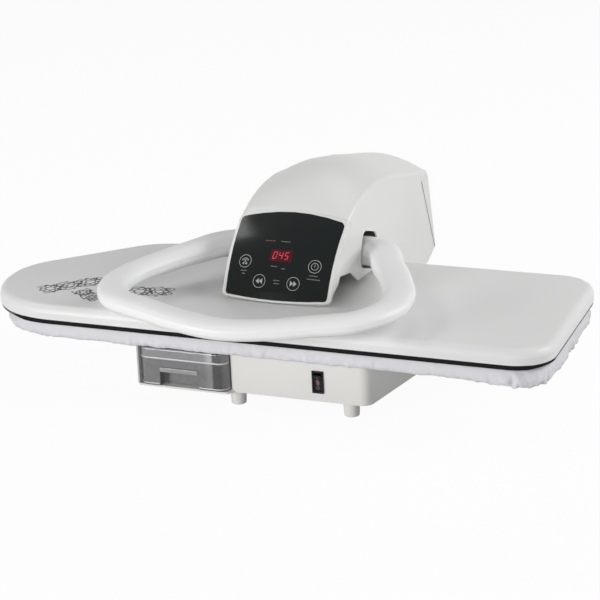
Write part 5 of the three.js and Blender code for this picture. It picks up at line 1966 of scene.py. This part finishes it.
    def drop(self, x: float, up: float, size: float) -> Patch:
        """A flat drop with a pointed top.

        Args:
            x: Its place across.
            up: Its place up.
            size: Its round end's radius.

        Returns:
            The patch.
        """
        start, sweep = self.drop_sweep
        spots = [(x, up + size * self.drop_tip)]
        for k in range(self.drop_steps + 1):
            angle = math.radians(start + sweep * k / self.drop_steps)
            spots.append((x + math.cos(angle) * size, up + math.sin(angle) * size))
        return spots, [tuple(range(len(spots)))]

    def signs(self) -> None:
        """Builds each key's ring and sign."""
        (sx, su), (px, pu) = self.keys["steam"], self.keys["power"]
        low, high, wide = self.power_bar
        steam = [self.arc((sx, su - self.steam_low), *sizes) for sizes in self.steam_arcs]
        steam += [self.drop(sx + x, su + up, size) for x, up, size in self.steam_drops]
        signs: dict[str, list[Patch]] = {
            "steam": steam, "down": self.arrows("down", -1.0), "up": self.arrows("up", 1.0),
            "power": [self.arc((px, pu), *self.power_ring), self.bar(px, pu + low, px, pu + high, wide)],
        }
        for name, place in self.keys.items():
            shapes = signs[name] + [self.arc(place, *self.key_ring)]
            self._print(name + "_sign", name + "_button", Finish.MARK, shapes)

    def labels(self) -> None:
        """Builds the faint bars that stand for the captions."""
        shapes = []
        for x, up, length, dashes in self.captions:
            pitch = length / dashes
            for k in range(dashes):
                middle = x - length / 2 + (k + 0.5) * pitch
                reach = pitch * self.caption_dashes[k % 2]
                shapes.append(self.bar(middle - reach, up, middle + reach, up, self.caption_line))
        self._print("panel_labels", "head", Finish.LABEL, shapes)

    def _segment(self, ends: Sequence[int], middle: float) -> Patch:
        """One lit bar of a digit, between two of the digit's corners or side middles.

        Args:
            ends: Its two ends, counted in halves of the digit's width and quarters of its height.
            middle: The digit's place across.

        Returns:
            The patch.
        """
        half, quarter = self.digit_half
        x0, y0, x1, y1 = (end * size for end, size in zip(ends, (half, quarter, half, quarter)))
        trim = self.digit_gap
        x0, x1 = x0 + (x1 - x0) * trim, x1 - (x1 - x0) * trim
        y0, y1 = y0 + (y1 - y0) * trim, y1 - (y1 - y0) * trim
        start, end = middle + x0 + y0 * self.digit_lean, middle + x1 + y1 * self.digit_lean
        return self.bar(start, self.digit_up + y0, end, self.digit_up + y1, self.digit_line)

    def digits(self, text: str = "045") -> None:
        """Builds the lit seven-bar digits and the dim lamps above them.

        Args:
            text: The digits to show.
        """
        bars = {
            "a": (-1, 2, 1, 2), "b": (1, 2, 1, 0), "c": (1, 0, 1, -2), "d": (-1, -2, 1, -2),
            "e": (-1, 0, -1, -2), "f": (-1, 2, -1, 0), "g": (-1, 0, 1, 0),
        }
        lit = {"0": "abcdef", "4": "bcfg", "5": "acdfg"}
        shapes = [
            self._segment(bars[name], (i - 1) * self.digit_pitch)
            for i, digit in enumerate(text) for name in lit[digit]
        ]
        self._print("display_digits", "head", Finish.DIGIT, shapes)
        length, wide = self.lamp_size
        lamps = [self.bar(x, self.lamp_up, x + length, self.lamp_up, wide) for x in self.lamps]
        self._print("status_lamps", "head", Finish.AMBER, lamps)

    def build(self) -> None:
        """Builds the panel."""
        self.shop.skins(("panel_lens", Finish.LENS, 0.35, 40.0), ("display_window", Finish.WINDOW))
        for key in self.keys:
            self.shop.skin("key_" + key, Finish.LENS, 0.15, 40.0)
        self.signs()
        self.labels()
        self.digits()


@dataclass
class Handle:
    """The looped handle: a rounded oblong tube that narrows from its roots to its front bar.

    Its shares run from the right root to the middle of the front bar: across by the reach, forward
    from the root to the apex, up from the apex to the crest, and how far the tube has narrowed.
    """

    shop: Workshop
    reach: float = 190.0
    apex: float = -225.0
    apex_z: float = 140.3
    crest_z: float = 168.3
    root_y: float = 76.0
    width: float = 46.0
    front_width: float = 41.0
    root_height: float = 40.0
    front_height: float = 25.0
    lean: float = 17.0
    fullness: float = 2.3
    groove: float = 0.55
    rings: int = 260
    sides: int = 56
    shares: Sequence[tuple[float, float, float, float]] = (
        (0.23, 0, 0.69, 0), (0.41, 0, 0.71, 0.05), (0.516, 0.037, 0.79, 0.15), (0.586, 0.105, 0.92, 0.3),
        (0.649, 0.18, 0.99, 0.45), (0.715, 0.269, 0.98, 0.6), (0.805, 0.358, 0.91, 0.75),
        (0.896, 0.462, 0.82, 0.85), (0.984, 0.589, 0.72, 0.95), (1, 0.748, 0.61, 1), (0.87, 0.88, 0.47, 1),
        (0.594, 0.932, 0.29, 1), (0.31, 0.976, 0.1, 1), (0, 1, 0, 1),
    )

    def _ring(self, route: Sequence[Vector], sizes: Sequence[float], t: float) -> list[Vector]:
        """One section of the tube.

        Args:
            route: The points of the tube's middle line.
            sizes: How far it has narrowed at each of them.
            t: The place along the tube, from 0 to 1.

        Returns:
            The section's points.
        """
        place = t * (len(sizes) - 1)
        low = min(int(place), len(sizes) - 2)
        size = sizes[low] + (sizes[low + 1] - sizes[low]) * (place - low)
        centre = spline(route, t)
        along = (spline(route, min(t + 1e-4, 1.0)) - spline(route, max(t - 1e-4, 0.0))).normalized()
        flat = along.cross(Vector((0.0, 0.0, 1.0))).normalized()
        flat.rotate(Matrix.Rotation(-math.radians(self.lean) * max(1.0 - size * 2.0, 0.0), 3, along))
        upright = flat.cross(along).normalized()
        width = (self.width + (self.front_width - self.width) * size) / 2
        height = (self.root_height + (self.front_height - self.root_height) * size) / 2
        power = 2.0 / self.fullness
        ring = []
        for k in range(self.sides):
            turn = k / self.sides * math.tau
            c, s = math.cos(turn), math.sin(turn)
            sink = self.groove if k in (0, self.sides // 2) else 0.0
            spot = centre + flat * (math.copysign(abs(c) ** power, c) * (width - sink))
            spot += upright * (math.copysign(abs(s) ** power, s) * height)
            ring.append(self.shop.at(*spot))
        return ring

    def build(self) -> None:
        """Builds the handle."""
        right = [
            Vector((
                x * self.reach, self.root_y + (self.apex - self.root_y) * y,
                self.apex_z + (self.crest_z - self.apex_z) * z,
            )) for x, y, z, _ in self.shares
        ]
        left = [Vector((-p.x, p.y, p.z)) for p in reversed(right[:-1])]
        sizes = [row[3] for row in self.shares]
        sizes += list(reversed(sizes[:-1]))
        points: list[Vector] = []
        for i in range(self.rings + 1):
            points += self._ring(right + left, sizes, i / self.rings)
        faces: list[Sequence[int]] = []
        for i in range(self.rings):
            for k in range(self.sides):
                j = (k + 1) % self.sides
                a, b = i * self.sides, (i + 1) * self.sides
                faces.append((a + k, a + j, b + j, b + k))
        faces.append(list(range(self.sides))[::-1])
        faces.append(range(self.rings * self.sides, (self.rings + 1) * self.sides))
        piece = self.shop.tidy(self.shop.mesh("handle_grip", points, faces), 55.0)
        self.shop.finish(piece, "handle", Finish.HANDLE, "shell", ["handle_loop"])
        self.shop.skins(("handle_shaft", Finish.STEEL, 0.4), ("lock_cam", Finish.STEEL, 0.5))


@dataclass
class Head:
    """The dome, its rear cover, the pod and the arm inside them."""

    shop: Workshop
    rear_top: Flat = (309.0, 205.0)
    rear_foot: Flat = (334.5, 93.0)
    screw_x: float = 60.0
    screw_z: Flat = (112.0, 186.0)
    screw_out: float = 0.4
    screw: Flat = (3.4, 1.6)
    seam_line: Sequence[Flat] = ((331.3, 93.6), (283.4, 202.6))
    seam_width: float = 1.4
    seam_out: float = 0.25
    seam_steps: int = 40
    beside: float = 140.0

    def rear_screws(self) -> None:
        """Builds the four screws of the rear cover."""
        top_y, top_z = self.rear_top
        foot_y, foot_z = self.rear_foot
        slope = (foot_y - top_y) / (top_z - foot_z)
        out = Vector((0.0, 1.0, slope)).normalized()
        points = [
            self.shop.at(x, top_y + (top_z - z) * slope, z) + out * (self.screw_out * MM)
            for x in (-self.screw_x, self.screw_x) for z in self.screw_z
        ]
        carrier = self.shop.mesh("rear_screws", points, [])
        steel = self.shop.palette.get(Finish.STEEL)
        tree = screw_tree("rear_screw", *self.screw, tuple(out), steel)
        self.shop.finish(tree.run(self.shop, carrier), "head", Finish.STEEL, "steel")

    def _walls(self) -> list[BVHTree]:
        """The two covers as trees that a ray can meet.

        Returns:
            One tree for each cover.
        """
        meshes = [self.shop.nodes[node].data for node in ("dome_cover", "rear_cover")]
        return [
            BVHTree.FromPolygons([v.co for v in data.vertices], [tuple(f.vertices) for f in data.polygons])
            for data in meshes
        ]

    def seam(self) -> None:
        """Builds the dark joint line between the dome and its rear cover, laid on both sides.

        Where a ray from the side passes through the gap between the covers, the line keeps the last
        wall's reach.
        """
        trees = self._walls()
        (foot_y, foot_z), (top_y, top_z) = self.seam_line
        points: list[Vector] = []
        faces: list[Sequence[int]] = []
        for side in (-1.0, 1.0):
            wall = 0.0
            first = len(points)
            for i in range(self.seam_steps + 1):
                share = i / self.seam_steps
                y, z = foot_y + (top_y - foot_y) * share, foot_z + (top_z - foot_z) * share
                for shift in (0.0, -self.seam_width):
                    spot = self.shop.at(side * self.beside, y + shift, z)
                    hits = [tree.ray_cast(spot, Vector((-side, 0.0, 0.0)))[0] for tree in trees]
                    reach = [hit.x * side for hit in hits if hit is not None and hit.x * side > 0.0]
                    wall = max(reach, default=wall)
                    points.append(Vector((side * (wall + self.seam_out * MM), spot.y, spot.z)))
            faces += [(k, k + 1, k + 3, k + 2) for k in range(first, len(points) - 2, 2)]
        piece = self.shop.mesh("dome_seam", points, faces)
        for face in piece.data.polygons:
            if face.normal.x * face.center.x < 0:
                face.flip()
        self.shop.finish(piece, "head", Finish.SEAL, "seal")

    def build(self) -> None:
        """Builds the head."""
        self.shop.skins(
            ("dome_cover", Finish.SHELL, 0.7, 30.0), ("rear_cover", Finish.SHELL, 0.7, 30.0),
            ("control_pod", Finish.SHELL, 0.5, 30.0), ("arm_frame", Finish.STEEL, 0.4),
            ("yoke_pin", Finish.STEEL, 0.3), ("pod_board", Finish.CIRCUIT, 0.2),
            ("steam_hose", Finish.HOSE, 0.0, 50.0), ("lift_spring_left", Finish.STEEL, 0.0, 60.0),
            ("lift_spring_right", Finish.STEEL, 0.0, 60.0),
        )
        self.rear_screws()
        self.seam()


# Studio


@dataclass(frozen=True)
class Lamp:
    """One soft square light. Its place and size are in metres and its power in watts."""

    name: str
    place: Colour
    size: float
    watts: float
    target: Colour = (0.0, 0.0, 0.12)

    def build(self) -> None:
        """Hangs the light and turns it to its target."""
        data = bpy.data.lights.new(self.name, "AREA")
        data.shape = "SQUARE"
        data.size = self.size
        data.energy = self.watts
        turn = (Vector(self.target) - Vector(self.place)).to_track_quat("-Z", "Y").to_matrix().to_4x4()
        put(self.name, data).matrix_world = Matrix.Translation(self.place) @ turn


@dataclass
class Studio:
    """The pale floor, the soft lights and the camera. Lengths are metres and angles are degrees."""

    azimuth: float = 24.55
    elevation: float = 18.22
    roll: float = -2.72
    distance: float = 2.90014
    focal: float = 132.0
    sensor: float = 36.0
    sight: float = 50.0
    aim: Colour = (0.001787, -0.084418, 0.1)
    frame: float = 600.0
    shift: Flat = (22.6, 14.32)
    world_light: float = 0.05
    floor_reach: float = 14.0
    floor_grey: float = 0.55
    floor_white: float = 0.95
    lamps: Sequence[Lamp] = (
        Lamp("low_left", (-1.594, -2.761, 0.4), 1.3, 61.0),
        Lamp("front", (1.02, -2.98, 0.86), 1.8, 29.0),
        Lamp("right", (2.636, 0.856, 1.7), 1.8, 62.0),
        Lamp("gleam", (-2.1, -0.28, 2.53), 0.75, 15.0),
        Lamp("rear", (0.0, 1.502, 2.925), 1.8, 10.5),
    )

    def camera(self) -> None:
        """Places the camera at the photograph's angle."""
        turn, rise, roll = (math.radians(a) for a in (self.azimuth, self.elevation, self.roll))
        back = Vector((math.sin(turn) * math.cos(rise), -math.cos(turn) * math.cos(rise), math.sin(rise)))
        right = Vector((math.cos(turn), math.sin(turn), 0.0))
        up = back.cross(right)
        side = right * math.cos(roll) + up * math.sin(roll)
        top = up * math.cos(roll) - right * math.sin(roll)
        data = bpy.data.cameras.new("camera")
        data.lens = self.focal
        data.sensor_width = self.sensor
        data.shift_x, data.shift_y = (way / self.frame for way in self.shift)
        data.clip_end = self.sight
        camera = put("camera", data)
        turned = Matrix((side, top, back)).transposed().to_4x4()
        camera.matrix_world = Matrix.Translation(Vector(self.aim) + back * self.distance) @ turned
        bpy.context.scene.camera = camera

    def world(self) -> None:
        """Lights the scene evenly, and shows white to the camera and in reflections."""
        world = bpy.data.worlds.new("studio")
        bpy.context.scene.world = world
        world.use_nodes = True
        tree = Graph(world.node_tree)
        strength = tree.seen() * (1.0 - self.world_light) + self.world_light
        back = tree.value("ShaderNodeBackground", {}, {"Color": (1.0, 1.0, 1.0, 1.0), "Strength": strength})
        tree.add("ShaderNodeOutputWorld", {}, {"Surface": back})

    def floor(self) -> None:
        """Lays the floor, which shows white to the camera and keeps the shadow."""
        far = self.floor_reach
        corners = ((-far, -far, 0), (far, -far, 0), (far, far, 0), (-far, far, 0))
        floor = Workshop.mesh("floor", corners, [(0, 1, 2, 3)])
        tree = Shader("studio_floor")
        seen = tree.seen()
        tint = tree.blend(seen, (self.floor_grey,) * 3, (1.0, 1.0, 1.0))
        matt = tree.value("ShaderNodeBsdfDiffuse", {}, {"Color": tint})
        white = tree.value("ShaderNodeEmission", {}, {"Color": (1.0, 1.0, 1.0, 1.0), "Strength": 1.0})
        mixed = tree.value("ShaderNodeMixShader", {}, {0: seen * self.floor_white, 1: matt, 2: white})
        tree.add("ShaderNodeOutputMaterial", {}, {"Surface": mixed})
        floor.data.materials.append(tree.material)

    def build(self) -> None:
        """Builds the studio."""
        bpy.context.scene.view_settings.view_transform = "Standard"
        self.camera()
        self.floor()
        self.world()
        for lamp in self.lamps:
            lamp.build()


def main() -> None:
    """Builds the press and its studio."""
    logging.basicConfig(level=logging.INFO, format="%(name)s: %(message)s")
    for block in (bpy.data.objects, bpy.data.lights, bpy.data.cameras):
        for item in list(block):
            block.remove(item)
    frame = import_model()
    shop = Workshop(frame, Palette())
    Studio().build()
    for part in (Board, Plate, Base, Tank, Panel, Handle, Head):
        part(shop).build()
        LOG.info("%s done", part.__name__)


if __name__ == "__main__":
    main()
